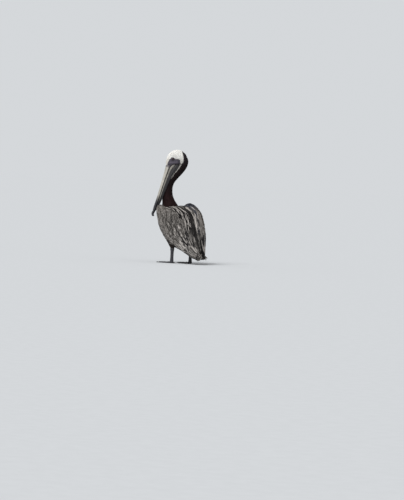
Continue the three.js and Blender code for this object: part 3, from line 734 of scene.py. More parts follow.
def vanes(lines, kind, half_width, roll=0.0):
    """Closed vanes of a kind about centre lines: at each station its section, as wide as its
    outline says, arched over the shaft.  Returns points by vane, station and section."""
    centre, sideways, normal = lines
    count, steps, _ = centre.shape
    across, rise = kind.section.T
    half = np.asarray(half_width, float).reshape(-1, 1) * lance(ways(steps), *kind.outline)
    turn = np.broadcast_to(np.asarray(roll, float), (count,))[:, None, None]
    sideways, normal = (sideways * np.cos(turn) + normal * np.sin(turn),
                        normal * np.cos(turn) - sideways * np.sin(turn))
    frayed = np.random.default_rng(kind.seed).uniform(-1, 0.6, (count, steps, len(across)))
    spread = half[..., None] * across * (1 + kind.fray * frayed * (np.abs(across) > 0.9))
    thin = np.minimum(kind.arch, half * 0.7 + 0.06)[..., None] * rise
    off_line = sideways[:, :, None] * spread[..., None] + normal[:, :, None] * thin[..., None]
    return centre[:, :, None] + off_line


def vane_faces(count, steps, around):
    """Faces of closed vanes: the grid of each, and a cap at each end."""
    one = grid_faces(steps, around)
    caps = np.stack([np.arange(around)[::-1], (steps - 1) * around + np.arange(around)])
    first = (np.arange(count) * steps * around)[:, None, None]
    return [(one + first).reshape(-1, 4), (caps + first).reshape(-1, around)]


class Layer:
    """A layer of vanes of one kind: its roots, random draws, shapes and tints."""

    def __init__(self, kind, rng, hues, s, t):
        self.kind, self.rng, self.hues, self.s, self.t = kind, rng, hues, s, t
        self.count = len(s)

    def near(self, middle, spread):
        """A normal draw for each vane."""
        return self.rng.normal(middle, spread, self.count)

    def within(self, low, high):
        """An even draw for each vane."""
        return self.rng.uniform(low, high, self.count)

    def lie(self, surface, out, length, heading, tip_lift, half_width, roll=0.0):
        """Lays the vanes on a surface."""
        lines = lay(surface, out, self.s, self.t, length, heading, self.kind, tip_lift)
        self.shape = vanes(lines, self.kind, half_width, roll)

    def markings(self, station):
        """The head's and neck's markings at one station of each vane."""
        return neck_markings(self.shape[:, station].mean(axis=1), self.hues)

    def dye(self, base, spread, edge=0.0, root=0.0, tip=0.0, tip_tone=None, power=2, place=None):
        """Tints the vanes: a base per vane, varied in brightness, then mixed at the sides, as a power
        of the way out, towards the near-black that is partly the plumes' own dark edges and partly
        painted shade in the gaps, towards a tone at the tip and towards the near-black again at the
        root.  Returns shapes, tints and places on the bake map."""
        bright = np.exp(self.rng.normal(0, spread, (self.count, 1)))
        base = np.broadcast_to(base, (self.count, 3)) * bright
        tint = np.broadcast_to(base[:, None, None], self.shape.shape)
        k = ways(self.kind.steps)[:, None]
        out = np.abs(2 * ring_shares(len(self.kind.section)) - 1)
        tint = toward(tint, self.hues.gap, edge * out**power)
        tint = toward(tint, self.hues.gap if tip_tone is None else tip_tone, tip * soft(k, 0.55, 1.0))
        tint = toward(tint, self.hues.gap, root * (1 - soft(k, 0.0, 0.5)))
        return self.shape, tint, stack(*(place or (self.t, self.s)))


def coat(name, slot, layers, finish, *nodes):
    """One coat piece from layers of shapes, tints and places on the bake map."""
    points, faces, tints, vane_map, bake_map, offset = [], {}, [], [], [], 0
    for shape, tint, places in layers:
        count, steps, around, _ = shape.shape
        flat = shape.reshape(-1, 3)
        for group in facing_out(flat, vane_faces(count, steps, around)):
            faces.setdefault(group.shape[1], []).append(group + offset)
        offset += len(flat)
        points.append(flat)
        tints.append(tint.reshape(-1, 3))
        own = np.stack(np.meshgrid(ring_shares(around), ways(steps)), axis=-1)
        vane_map.append(np.broadcast_to(own, (count, steps, around, 2)).reshape(-1, 2))
        places = np.clip(places, 0.004, 0.996)[:, None, None]
        bake_map.append((places + PATCH * (own - 0.5)).reshape(-1, 2))
    maps = (("Vane", np.vstack(vane_map)), ("OFBake", np.vstack(bake_map)))
    faces = [np.vstack(groups) for groups in faces.values()]
    thing = put_mesh(name, np.vstack(points), faces, np.vstack(tints), maps, crease=75)
    return ridden(thing, finish, slot, *nodes)


def scatter(rng, s_range, t_range, rows, columns, jitter=0.35):
    """Roots in staggered rows, each moved at random by a share of the spacing."""
    s, t = np.meshgrid(np.arange(rows), np.arange(columns), indexing="ij")
    t = t + 0.5 * (s % 2)
    s = s + rng.uniform(-jitter, jitter, s.shape)
    t = t + rng.uniform(-jitter, jitter, t.shape)
    s = s_range[0] + (s_range[1] - s_range[0]) * s.ravel() / max(rows - 1, 1)
    t = t_range[0] + (t_range[1] - t_range[0]) * t.ravel() / columns
    return s, t


# ---- finishes --------------------------------------------------------------------------
class Nodes:
    """Short calls for laying out a material's nodes.  Each adds a node and returns its output."""

    def __init__(self, name, roughness, specular):
        self.material = bpy.data.materials.new(name)
        self.material.use_nodes = True
        self.tree = self.material.node_tree
        self.shader = self.tree.nodes["Principled BSDF"]
        self.feed(self.shader, {"Roughness": roughness, "Specular IOR Level": specular})

    def feed(self, node, values):
        """Sets inputs of a node, by name or number, or links them to the outputs of others."""
        for key, value in values.items():
            if isinstance(value, bpy.types.NodeSocket):
                self.tree.links.new(value, node.inputs[key])
            else:
                node.inputs[key].default_value = value

    def add(self, kind, values, **settings):
        """A node with its settings made first and its inputs fed."""
        node = self.tree.nodes.new(kind)
        for key, value in settings.items():
            setattr(node, key, value)
        self.feed(node, values)
        return node

    def math(self, operation, *values):
        return self.add("ShaderNodeMath", dict(enumerate(values)), operation=operation).outputs[0]

    def product(self, *values):
        return self.math("MULTIPLY", *values)

    def total(self, *values):
        return self.math("ADD", *values)

    def spread(self, value, low, high, to_low=0.0, to_high=1.0):
        """Rises smoothly from to_low, where the value is low, to to_high."""
        values = {"Value": value, "From Min": low, "From Max": high, "To Min": to_low, "To Max": to_high}
        return self.add("ShaderNodeMapRange", values, interpolation_type="SMOOTHSTEP").outputs[0]

    def object_place(self, scale=(1, 1, 1)):
        place = self.add("ShaderNodeTexCoord", {}).outputs["Object"]
        return self.add("ShaderNodeMapping", {"Vector": place, "Scale": scale}).outputs[0]

    def own_map(self, name):
        own = self.add("ShaderNodeUVMap", {}, uv_map=name).outputs[0]
        return self.add("ShaderNodeSeparateXYZ", {0: own}).outputs[:2]

    def noise(self, vector, scale, detail, roughness=0.55):
        values = {"Vector": vector, "Scale": scale, "Detail": detail, "Roughness": roughness}
        return self.add("ShaderNodeTexNoise", values).outputs["Fac"]

    def cells(self, vector, scale):
        values = {"Vector": vector, "Scale": scale}
        return self.add("ShaderNodeTexVoronoi", values, feature="DISTANCE_TO_EDGE").outputs["Distance"]

    def tint(self):
        """The colour that each vertex carries."""
        return self.add("ShaderNodeAttribute", {}, attribute_name="Tint").outputs["Color"]

    def times(self, tone, factor):
        values = {"Factor": 1.0, "A": tone, "B": factor}
        node = self.add("ShaderNodeMix", values, data_type="RGBA", blend_type="MULTIPLY")
        return node.outputs["Result"]

    def mixed(self, factor, tone, other):
        values = {"Factor": factor, "A": tone, "B": (*other, 1.0)}
        return self.add("ShaderNodeMix", values, data_type="RGBA").outputs["Result"]

    def finish(self, tone, height=None, depth=0.0002, strength=0.6, **more):
        """Feeds the shader's colour, its relief from a height, and more inputs; returns the material."""
        self.feed(self.shader, {"Base Color": tone, **more})
        if height is not None:
            values = {"Strength": strength, "Distance": depth, "Height": height}
            self.feed(self.shader, {"Normal": self.add("ShaderNodeBump", values).outputs[0]})
        return self.material


def feather_finish(name, barbs, roughness=0.7, contrast=0.3, worn_low=0.78):
    """Slanting barbs either side of a shaft: waves of the way along plus the way out."""
    n = Nodes(name, roughness, 0.12)
    u, v = n.own_map("Vane")
    out = n.math("ABSOLUTE", n.math("SUBTRACT", u, 0.5))
    slant = n.total(n.product(v, barbs), n.product(out, -barbs * 0.22))
    jitter = n.product(n.noise(n.object_place(), 260, 2), 1.6)
    wave = n.math("SINE", n.product(n.total(slant, jitter), 2 * math.pi))
    wave = n.spread(wave, -1.0, 1.0)
    shaft = n.math("SUBTRACT", 1.0, n.spread(out, 0.015, 0.05))
    worn = n.spread(n.noise(n.object_place(), 60, 4), 0.3, 0.75, worn_low, 1.14)
    shade = n.product(worn, n.total(1 - contrast / 2, n.product(wave, contrast)))
    tone = n.mixed(n.product(shaft, 0.55), n.times(n.tint(), shade), ink(48, 44, 43))
    height = n.total(wave, n.product(shaft, 1.5))
    return n.finish(tone, height, 0.00022, 0.55)


def bare_finish(name, roughness, cell_scale, fold_scale, depth):
    """Bare skin: fine cells within larger folds, mottled in colour."""
    n = Nodes(name, roughness, 0.45)
    place = n.object_place()
    cell = n.spread(n.cells(place, cell_scale), 0.0, 0.22)
    fold = n.noise(place, fold_scale, 4)
    mottle = n.spread(n.noise(place, fold_scale * 0.6, 5), 0.3, 0.7, 0.75, 1.2)
    # Painted shade: darker at the edges of the cells, in the grooves between them; the mottle is the skin's
    # own colour.
    shade = n.product(mottle, n.total(0.86, n.product(cell, 0.16)))
    height = n.total(cell, n.product(fold, 1.4))
    rough = n.spread(fold, 0.3, 0.7, roughness - 0.08, roughness + 0.1)
    return n.finish(n.times(n.tint(), shade), height, depth, 0.7, Roughness=rough)


def horn_finish(name, roughness):
    """Horn: streaks drawn out along the bill, fine scratches and stains."""
    n = Nodes(name, roughness, 0.5)
    n.feed(n.shader, {"Coat Weight": 0.18, "Coat Roughness": 0.25})
    streaks = n.noise(n.object_place((1, 1, 0.07)), 900, 4, 0.6)
    stains = n.spread(n.noise(n.object_place((1, 1, 0.4)), 70, 5), 0.35, 0.72, 0.72, 1.1)
    shade = n.product(stains, n.spread(streaks, 0.3, 0.75, 0.82, 1.1))
    height = n.total(streaks, n.product(n.noise(n.object_place(), 420, 3), 0.5))
    rough = n.spread(streaks, 0.3, 0.7, roughness - 0.1, roughness + 0.14)
    return n.finish(n.times(n.tint(), shade), height, 0.00035, 0.5, Roughness=rough)


def eye_finish():
    """Wet eyeball: painted iris with radial fibres under a clear coat."""
    n = Nodes("eye_wet", 0.3, 0.15)
    n.feed(n.shader, {"Coat Weight": 0.4, "Coat Roughness": 0.03})
    fibres = n.spread(n.noise(n.object_place(), 1600, 3), 0.35, 0.65, 0.7, 1.25)
    return n.finish(n.times(n.tint(), fibres))


# ---- operators: the body ---------------------------------------------------------------
SKIN_VOXEL = 2.4  # size of the cells in which the shapes of the skin are joined
LEG_VOXEL = 0.85  # the same for legs, toes and webs


def sizes_and_hues(context):
    """The properties by name: lengths in millimetres, and colours as arrays."""
    sizes, hues = context.scene.pelican_sizes, context.scene.pelican_colours
    lengths = {key: getattr(sizes, key) * 1000 for key in sizes.__annotations__ if key != "rectrices"}
    colours = {key: np.array(getattr(hues, key)) for key in hues.__annotations__}
    return SimpleNamespace(rectrices=sizes.rectrices, **lengths), SimpleNamespace(**colours)


class PELICAN_OT_skin(bpy.types.Operator):
    """One skin over trunk, wings, neck, head and thighs, below the plumage by its depth"""

    bl_idname = "pelican.skin"
    bl_label = "Skin"

    def execute(self, context):
        sizes, hues = sizes_and_hues(context)
        depth = sizes.body_coat

        def sunk(surface, inset, rows, columns):
            """A closed loft of a surface, drawn in by an inset."""
            return closed_grid(lambda s, t: surface(s, t, inset), rows, columns)[:2]

        shapes = [sunk(trunk, depth, 60, 72), sunk(neck, sizes.neck_coat, 70, 40),
                  sunk(head, sizes.head_coat, 60, 60)]
        for side in SIDES.values():
            shapes += [sunk(self.wing_slab(side), depth * 0.8, 60, 60),
                       sunk(thigh(side), depth * 0.5, 30, 36),
                       closed_grid(self.orbit(side), 20, 24)[:2]]
        skin = fused("skin", shapes, SKIN_VOXEL, 6)
        paint(skin.data, skin_markings(vertices_of(skin.data), hues))
        ridden(skin, bare_finish("skin_bare", 0.55, 1400, 260, 0.0002), "bare_skin",
               "trunk", "head", "neck_lower", "neck_middle", "neck_upper",
               *[f"{part}_{name}" for part in ("wing", "thigh") for name in SIDES])
        return {"FINISHED"}

    @staticmethod
    def wing_slab(side):
        """A wing's plate: out along its outer surface and back along the inner one."""
        outer = wing(side)

        @on_arrays
        def at(s, t, sunk):
            station = 0.92 * s
            share = 0.03 + 0.94 * np.where(t < 0.5, 2 * t, 2 - 2 * t)
            thick = np.maximum(WING_THICKNESS(station) * 0.7 - 4, 2) * (t >= 0.5)
            return outer(station, share, sunk + thick)

        return at

    @staticmethod
    def orbit(side):
        """The swelling of the face round an eyeball: a flattened ball."""

        def at(s, t):
            tilt, turn = np.pi * (0.02 + 0.96 * s), 2 * np.pi * t
            out = -6 - side * 10.6 * np.sin(tilt) * np.sin(turn)
            return eye_place(side, 16 * np.sin(tilt) * np.cos(turn), 13.5 * np.cos(tilt), out)

        return at


def streaks(s, t):
    """Long streaks of pale and dark plumes down a wing: sines of the distance across the
    plumes' own direction, which bend slowly along it.  About -1 to 1."""
    over = 130 * t + 105 * s
    along = 300 * s
    broad = np.sin(over * 2 * np.pi / 17 + 2.2 * np.sin(along / 23 + 3 * t))
    fine = np.sin(over * 2 * np.pi / 10.3 + 3.0 * np.sin(along / 15 + 1.0))
    return 0.6 * broad + 0.5 * fine


COVERT_STEEPNESS = 0.34  # radians that the small coverts turn downwards in the middle of the wing


class PELICAN_OT_wing_coverts(bpy.types.Operator):
    """Small, middle and large coverts of both wings, in rows from the shoulder"""

    bl_idname = "pelican.wing_coverts"
    bl_label = "Wing coverts"

    def execute(self, context):
        sizes, hues = sizes_and_hues(context)
        finish = feather_finish("covert_vanes", 26)
        for name, side in SIDES.items():
            rng = np.random.default_rng(20 + side)
            layers = [self.down(rng, side, hues)]
            layers += self.large(rng, side, hues)
            layers += self.small(rng, side, sizes, hues)
            coat(f"coverts_{name}", "wing_feathers", layers, finish)
        return {"FINISHED"}

    @staticmethod
    def down(rng, side, hues):
        """Near-black broad plumes that close the coat beneath the pale ones, so that the gaps between
        the pale ones show painted shade; longer and streaked near the left wing's tip."""
        s, t = scatter(rng, (0.0, 0.93), (-0.14, 1.14), 50, 28)
        layer = Layer(DOWN, rng, hues, s, t)
        near_tip = soft(s, 0.74, 0.82) * (side > 0)
        layer.lie(wing(side), side, 27 + 8 * near_tip, layer.near(0, 0.1), -2.2, 5.4)
        pale = soft(np.sin(55 * t + 9 * s) + layer.near(0, 0.5), -0.2, 0.6) * near_tip
        return layer.dye(toward(hues.gap, hues.silver * 0.66, pale), 0.15, edge=0.7)

    @staticmethod
    def small(rng, side, sizes, hues):
        """Narrow pointed coverts, silvery along the shaft and dark at the sides, finest at the
        front of the wing.  They hang more steeply than the wing's own lines."""
        layers = []
        # 1 on the far wing, whose coverts are painted in shade: darker and with less contrast.
        far = 1.0 if side < 0 else 0.0
        for rows, columns, s_range, length, width, lift in (
                (34, 40, (0.0, 0.54), 1.0, 1.0, 0.2), (28, 32, (0.01, 0.57), 1.25, 0.8, 1.2)):
            s, t = scatter(rng, s_range, (-0.1, 1.06), rows, columns)
            layer = Layer(SMALL_COVERT, rng, hues, s, t)
            grown = 0.75 + 0.8 * np.clip(s / 0.5, 0, 1)
            long = sizes.covert_length * length * grown * layer.within(0.8, 1.2)
            half = sizes.covert_width / 2 * width * grown * layer.within(0.75, 1.25)
            middle = soft(t, 0.0, 0.3) * (1 - soft(t, 0.5, 0.85)) * (1 - soft(s, 0.4, 0.56))
            layer.lie(wing(side), side, long, layer.near(0, 0.14) - COVERT_STEEPNESS * middle,
                      layer.near(lift, 0.6), half, layer.near(0, 0.14))
            back_part = soft(t, 0.15, 0.55)
            deep = 0.78 - 0.56 * soft(s, 0.08, 0.3) * (0.35 + 0.65 * back_part)
            wave = (0.4 + 0.6 * back_part) * streaks(s, t) + layer.near(0.55, 0.5) - 0.25 * back_part
            pale = soft(wave, -0.7, 1.1) * (0.9 - 0.4 * back_part)
            tone = toward(hues.covert * deep[:, None], hues.silver, pale)
            # Painted shade on the far wing: its coverts go towards a dull dark grey, and towards the blue
            # grey of the far shoulder's cap near the top of its shoulder.
            cap = (1 - soft(s, 0.14, 0.34)) * soft(t, 0.15, 0.5) * far
            tone = toward(tone, toward(hues.covert * 0.58, hues.shoulder, cap), 0.92 * far)
            # Painted shade beside the base of the neck.
            tone = toward(tone, hues.gap, 0.8 * neck_base_shade(layer.shape[:, 2, 0]))
            layers.append(layer.dye(tone, 0.2 - 0.1 * far, edge=0.7 - 0.4 * far, root=0.7 - 0.3 * far,
                                    tip=0.25 - 0.15 * far))
        return layers

    @staticmethod
    def large(rng, side, hues):
        """Rows of longer, blunter coverts over the secondaries."""
        layers = []
        for row, (s_root, long, half, lift, columns) in enumerate((
                (0.66, 66, 7.2, -1.6, 15), (0.6, 78, 7.2, -1.0, 15), (0.545, 70, 6.6, -0.5, 17),
                (0.48, 54, 5.6, 0.2, 20))):
            s, t = scatter(rng, (s_root - 0.02, s_root + 0.03), (-0.06, 1.04), 2, columns, 0.25)
            layer = Layer(LARGE_COVERT._replace(seed=LARGE_COVERT.seed + row), rng, hues, s, t)
            layer.lie(wing(side), side, long * layer.within(0.85, 1.12), layer.near(0, 0.07),
                      layer.near(lift, 0.35), half * layer.within(0.85, 1.1), layer.near(0, 0.08))
            clusters = soft(layer.near(0, 0.5) - streaks(s, t), 0.3, 0.7)
            dorsal = soft(t, 0.72, 0.9) * 0.6 * (side > 0)
            # Its last term turns the lowest coverts near-black: painted shadow of the belly under the wing's
            # edge.
            dark = np.maximum.reduce([dorsal, 0.9 * clusters, 1 - soft(t, -0.02, 0.08)])
            # The far wing's webs are darker: painted shade.
            webs = hues.silver * (0.9 if side > 0 else 0.5)
            tone = toward(webs, hues.flight * 0.6, dark)
            layers.append(layer.dye(tone, 0.15, edge=0.97, root=0.5, tip=0.2, tip_tone=hues.flight, power=3))
        return layers


SECONDARIES = 19
PRIMARIES = 9
TERTIALS = 26


class PELICAN_OT_flight_feathers(bpy.types.Operator):
    """Secondaries and tertials under the coverts, and the primaries that run to the wing's tip"""

    bl_idname = "pelican.flight_feathers"
    bl_label = "Flight feathers"

    def execute(self, context):
        sizes, hues = sizes_and_hues(context)
        finish = feather_finish("flight_vanes", 60, 0.55, 0.22)
        for name, side in SIDES.items():
            rng = np.random.default_rng(50 + side)
            layers = [self.secondaries(rng, side, sizes, hues), self.tertials(rng, side, hues)]
            coat(f"secondaries_{name}", "flight_feathers", layers, finish)
            coat(f"primaries_{name}_vanes", "flight_feathers", [self.primaries(rng, side, hues)], finish,
                 f"primaries_{name}")
        return {"FINISHED"}

    @staticmethod
    def secondaries(rng, side, sizes, hues):
        """A row of blunt feathers from the dorsal edge down, every third of them dark and the lowest
        ones darkened as painted shadow under the wing's edge.
        """
        t = np.linspace(0.99, 0.01, SECONDARIES)
        layer = Layer(SECONDARY, rng, hues, 0.658 + 0.018 * np.cos(np.pi * t), t)
        layer.lie(wing(side), side, sizes.secondary_length * (0.9 + 0.25 * (1 - t)), layer.near(0, 0.02),
                  np.linspace(-0.2, -1.8, SECONDARIES), 8.0, -0.1 * side)
        dark = 0.8 * ((np.arange(SECONDARIES) % 3 == 1) | (t < 0.1))
        return layer.dye(toward(hues.silver * 0.78, hues.flight * 0.7, dark), 0.15,
                         edge=0.95, tip=0.25, tip_tone=hues.flight, power=3)

    @staticmethod
    def primaries(rng, side, hues):
        """Narrow feathers side by side from the fold to the wing's tip."""
        order = np.linspace(0, 1, PRIMARIES)[:, None]
        reach = 0.3 - 0.085 * np.abs(order - 0.3)
        layer = Layer(PRIMARY, rng, hues, np.full(PRIMARIES, 0.694), 0.12 + 0.6 * order[:, 0])
        k = ways(PRIMARY.steps)
        centre, sideways, normal = framed(wing(side), side, layer.s[:, None] + reach * k,
                                          layer.t[:, None] + 0.08 * k, k)
        centre = centre + normal * (PRIMARY.low + 1.2 * order)[..., None]
        layer.shape = vanes((centre, sideways, normal), PRIMARY, 7.0)
        tone = toward(hues.covert * 0.8, hues.flight * 0.8, np.arange(PRIMARIES) % 2)
        return layer.dye(tone, 0.12, edge=0.9, tip=0.4, tip_tone=hues.flight, power=3)

    @staticmethod
    def tertials(rng, side, hues):
        """Long blunt inner feathers that lie over the fold on the dorsal side."""
        t = rng.permutation(np.linspace(0.52, 1.06, TERTIALS))
        layer = Layer(TERTIAL, rng, hues, np.linspace(0.4, 0.58, TERTIALS), t)
        layer.lie(wing(side), side, 118 * layer.within(0.85, 1.08), layer.near(0, 0.04),
                  layer.near(0.2, 0.4), 7.0 * layer.within(0.85, 1.1), layer.near(0, 0.08))
        dark = (rng.random(TERTIALS) < 0.5)[:, None]
        tone = np.where(dark, hues.flight * 0.4, hues.silver * 0.8)
        return layer.dye(tone, 0.25, edge=0.97, root=0.5, tip=0.5, tip_tone=hues.flight, power=3)


class PELICAN_OT_scapulars(bpy.types.Operator):
    """Long silvery plumes from the shoulders back over the mantle and the folded wings"""

    bl_idname = "pelican.scapulars"
    bl_label = "Scapulars and mantle"

    def execute(self, context):
        sizes, hues = sizes_and_hues(context)
        finish = feather_finish("scapular_vanes", 60, 0.62, 0.25, 0.9)
        rng = np.random.default_rng(7)
        layers = self.mantle(rng, hues)
        # Each row: number of plumes, ranges of s and t, share of the full length, lift of the tips.
        # The far wing's plumes get a low contrast, which also darkens them as painted shade.
        layers += self.plumes(rng, wing(-1), -1, sizes, hues, 0.25, 0, -0.04, (
            (60, (0.26, 0.4), (0.88, 1.1), 0.5, 0.4), (50, (0.3, 0.5), (0.88, 1.1), 0.8, 0.8)))
        layers += self.plumes(rng, cape(-1), -1, sizes, hues, 0.9, 130, -0.12, (
            (110, (0.04, 0.38), (0.76, 0.98), 0.4, 0.0), (80, (0.06, 0.38), (0.8, 0.98), 0.6, 1.2),
            (60, (0.1, 0.38), (0.84, 0.98), 0.8, 2.4), (50, (-0.01, 0.05), (0.5, 1.0), 0.3, 0.6)))
        layers += self.plumes(rng, cape(1), 1, sizes, hues, 1.0, 130, -0.04, (
            (130, (0.02, 0.2), (0.42, 0.98), 0.36, 0.4), (110, (0.1, 0.34), (0.48, 0.98), 0.62, 1.6),
            (110, (0.17, 0.42), (0.6, 0.98), 0.85, 2.6)))
        coat("scapulars", "mantle_feathers", layers, finish)
        return {"FINISHED"}

    @staticmethod
    def mantle(rng, hues):
        """Plumes of the back between the wings, shortest at the neck and the rump, and near-black
        in the valley beside the far wing as painted shade."""
        layers = []
        for rows, columns, t_last, lift, half in ((34, 22, 0.19, -2.6, 4.8), (26, 15, 0.05, 0.2, 3.4)):
            s, t = scatter(rng, (0.0, 0.97), (-0.19, t_last), rows, columns)
            layer = Layer(MANTLE, rng, hues, s, t)
            long = (22 + 26 * soft(s, 0.05, 0.5) - 22 * soft(s, 0.7, 0.9)) * layer.within(0.85, 1.15)
            layer.lie(trunk, 1, long, layer.near(0, 0.08), layer.near(lift, 0.5),
                      half * layer.within(0.8, 1.15), layer.near(0, 0.1))
            streaked = soft(np.sin(95 * t + 6 * s) + layer.near(0, 0.5), -0.4, 0.9)
            # ends: the front and the rear of the back, left out of the painted shade of the valley.
            ends = np.maximum(soft(s, 0.4, 0.6), 1 - soft(s, 0.14, 0.3))
            tone = toward(hues.gap, hues.silver * 0.5, 0.1 + 0.9 * streaked * ends)
            layers.append(layer.dye(tone, 0.25, edge=0.7, root=0.7, tip=0.3, place=(0.5 + t, s)))
        return layers

    @staticmethod
    def plumes(rng, surface, out, sizes, hues, contrast, breadth, heading, rows):
        """Lance-shaped plumes with black edges, silvery or nearly black in long bands across the
        surface's breadth, a breadth in millimetres over the whole of t.  The nearly black bands are
        painted shade of the deep gaps between the plumes, and a lower contrast also darkens the
        plumes, which on the far wing is painted shade."""
        layers = []
        for count, s_range, t_range, share, lift in rows:
            s = rng.uniform(*s_range, count)
            t = t_range[0] + (t_range[1] - t_range[0]) * rng.permutation((np.arange(count) + 0.5) / count)
            layer = Layer(SCAPULAR, rng, hues, s, t)
            long = sizes.scapular_length * share * layer.within(0.75, 1.1)
            half = sizes.scapular_width / 2 * (0.66 + 0.34 * share) * layer.within(0.8, 1.1)
            layer.lie(surface, out, long, layer.near(heading, 0.05), layer.near(lift, 0.7), half,
                      layer.near(0, 0.16))
            over = 2 * np.pi * breadth * (t - 1)
            bands = np.sin(over / 23 + 7 * s + 1.2) + 0.7 * np.sin(over / 13.7 - 11 * s + 3)
            dark = soft(layer.near(0, 0.35) + 0.35 + 0.4 * share - bands, 0.2, 0.6) * contrast
            dim = soft(t, 0.2, 0.4) * (1 - soft(t, 0.55, 0.8))
            tone = hues.silver * (0.42 + 0.5 * contrast - 0.35 * dim)[:, None]
            tone = toward(tone, hues.gap, dark)
            # Painted shade on the top of the far shoulder.
            if out < 0:
                tone = toward(tone, hues.shoulder, (1 - soft(s, 0.12, 0.26)) * (1 - soft(t, 0.86, 0.95)))
            layers.append(layer.dye(tone, 0.15 * contrast, edge=0.5 + 0.47 * contrast, root=0.8, power=4))
        return layers


class PELICAN_OT_underparts(bpy.types.Operator):
    """Breast, belly, flanks and thighs in dark narrow plumes"""

    bl_idname = "pelican.underparts"
    bl_label = "Underparts"

    def execute(self, context):
        hues = sizes_and_hues(context)[1]
        finish = feather_finish("belly_vanes", 20, 0.7)
        rng = np.random.default_rng(11)
        coat("breast_and_belly", "belly_feathers", [self.breast(rng, hues)], finish)
        for name, part in (("thigh_plumes", self.thigh), ("flank_plumes", self.flank)):
            coat(name, "belly_feathers", [part(rng, side, hues) for side in SIDES.values()], finish)
        return {"FINISHED"}

    @staticmethod
    def breast(rng, hues):
        """Short narrow plumes over the trunk, greyer above, and dark round the neck with painted shade."""
        s, t = scatter(rng, (-0.02, 0.97), (0.13, 0.87), 92, 88)
        layer = Layer(BREAST, rng, hues, s, t)
        layer.lie(trunk, 1, (33 - 10 * soft(s, 0.6, 1.0)) * layer.within(0.8, 1.2), layer.near(0, 0.13),
                  layer.near(0.0, 0.35), 2.5 * layer.within(0.75, 1.25), layer.near(0, 0.1))
        base = toward(hues.belly, hues.covert * 0.62, soft(layer.shape[:, 0, 0, 2], 150, 290))
        base = toward(base, hues.gap * 1.3, 0.85 * neck_base_shade(layer.shape[:, 1, 0]))
        return layer.dye(base, 0.22, edge=0.3, root=0.35)

    @staticmethod
    def thigh(rng, side, hues):
        """Soft plumes round a thigh, shorter towards the ankle."""
        s, t = scatter(rng, (0.1, 0.97), (0, 1), 34, 44)
        layer = Layer(THIGH, rng, hues, s, t)
        layer.lie(thigh(side), 1, (18 - 6 * s) * layer.within(0.85, 1.15), layer.near(0, 0.12),
                  layer.near(0.0, 0.4), (2.6 - s) * layer.within(0.9, 1.2), layer.near(0, 0.15))
        return layer.dye(hues.belly, 0.18, edge=0.3, root=0.4, place=(0.25 * (2 + side) + 0.24 * t, s))

    @staticmethod
    def flank(rng, side, hues):
        """Plumes that come round a wing's lower edge from the breast and lie over it."""
        s, t = scatter(rng, (0.03, 0.66), (-0.2, -0.01), 52, 7)
        layer = Layer(FLANK, rng, hues, s, t)
        layer.lie(wing(side), side, layer.within(24, 38), layer.near(0.42, 0.16),
                  layer.near(0.6, 0.6), 2.7 * layer.within(0.75, 1.2), layer.near(0, 0.12))
        # Painted shade: darker the further round under the wing's edge they are rooted, and near-black
        # towards the back, as the shadow of the belly under the wing.
        tone = hues.covert * (0.45 + 0.35 * soft(t, -0.2, 0.0)[:, None])
        tone = toward(tone, hues.gap, soft(s, 0.3, 0.46))
        return layer.dye(tone, 0.25, edge=0.5, root=0.5, place=(0.02 + 0.2 * (side > 0) - 0.1 * t, s))


OVERLAPS = 90  # plumes that lie over the tail


class PELICAN_OT_tail(bpy.types.Operator):
    """Tail feathers in a fan, with their coverts above and below"""

    bl_idname = "pelican.tail"
    bl_label = "Tail"

    def execute(self, context):
        sizes, hues = sizes_and_hues(context)
        rng = np.random.default_rng(13)
        layers = [self.fan(rng, sizes.rectrices, hues), self.overlap(rng, hues),
                  self.coverts(rng, 1, hues), self.coverts(rng, -1, hues)]
        coat("tail_plumes", "flight_feathers", layers, feather_finish("tail_vanes", 50, 0.55, 0.22), "tail")
        return {"FINISHED"}

    @staticmethod
    def fan(rng, count, hues):
        """The main feathers, square at their ends, lower at the sides."""
        t = np.linspace(0.04, 0.96, count)
        outer = np.abs(2 * t - 1)
        layer = Layer(RECTRIX, rng, hues, np.full(count, -0.12), t)
        layer.lie(tail, -1, 110 - 4 * outer + layer.near(0, 1.2), 0.0, 2.4 - 3.4 * outer, 8.4)
        return layer.dye(hues.flight * 0.5, 0.14, edge=0.5, place=(t, 0.1))

    @staticmethod
    def coverts(rng, face, hues):
        """Short plumes over the roots of the main feathers, on one face of the tail."""
        s, t = scatter(rng, (-0.25, 0.45), (0.04, 0.96), 9, 14)
        layer = Layer(TAIL_COVERT, rng, hues, s, t)
        layer.lie(tail, face, 40 * layer.within(0.8, 1.1), layer.near(0, 0.08), layer.near(4.2, 0.5),
                  4.6 * layer.within(0.8, 1.15), layer.near(0, 0.1))
        base = hues.covert * 0.6 if face < 0 else hues.belly
        return layer.dye(base, 0.18, edge=0.5, place=(t * 0.5 + 0.25 * (1 - face), s * 0.5 + 0.3))

    @staticmethod
    def overlap(rng, hues):
        """Long upper coverts that lie over the tail from the near side, pale and dark in turn, and
        leave its far corner bare."""
        t = 0.16 + 0.82 * rng.permutation(np.arange(OVERLAPS) / OVERLAPS)
        last = np.minimum(0.65 + 0.73 * (t - 0.15), 0.98) - 0.66
        s = -0.4 + (last + 0.4) * np.sqrt(rng.random(OVERLAPS))
        layer = Layer(OVERLAP, rng, hues, s, t)
        layer.lie(tail, -1, 60 * layer.within(0.85, 1.0), layer.near(0, 0.05), layer.near(6.0, 0.8),
                  5.6 * layer.within(0.8, 1.15), layer.near(0, 0.1))
        dark = soft(np.sin(2 * np.pi * t * 6.3) + layer.near(0, 0.4), 0.1, 0.5)
        dark = np.maximum(dark, 0.9 * soft(s - last, -0.16, -0.02))
        tone = toward(hues.silver * 0.72, hues.flight * 0.5, dark)
        return layer.dye(tone, 0.18, edge=0.95, root=0.6, tip=0.3, tip_tone=hues.flight, power=3,
                         place=(t * 0.5, s * 0.4 + 0.8))


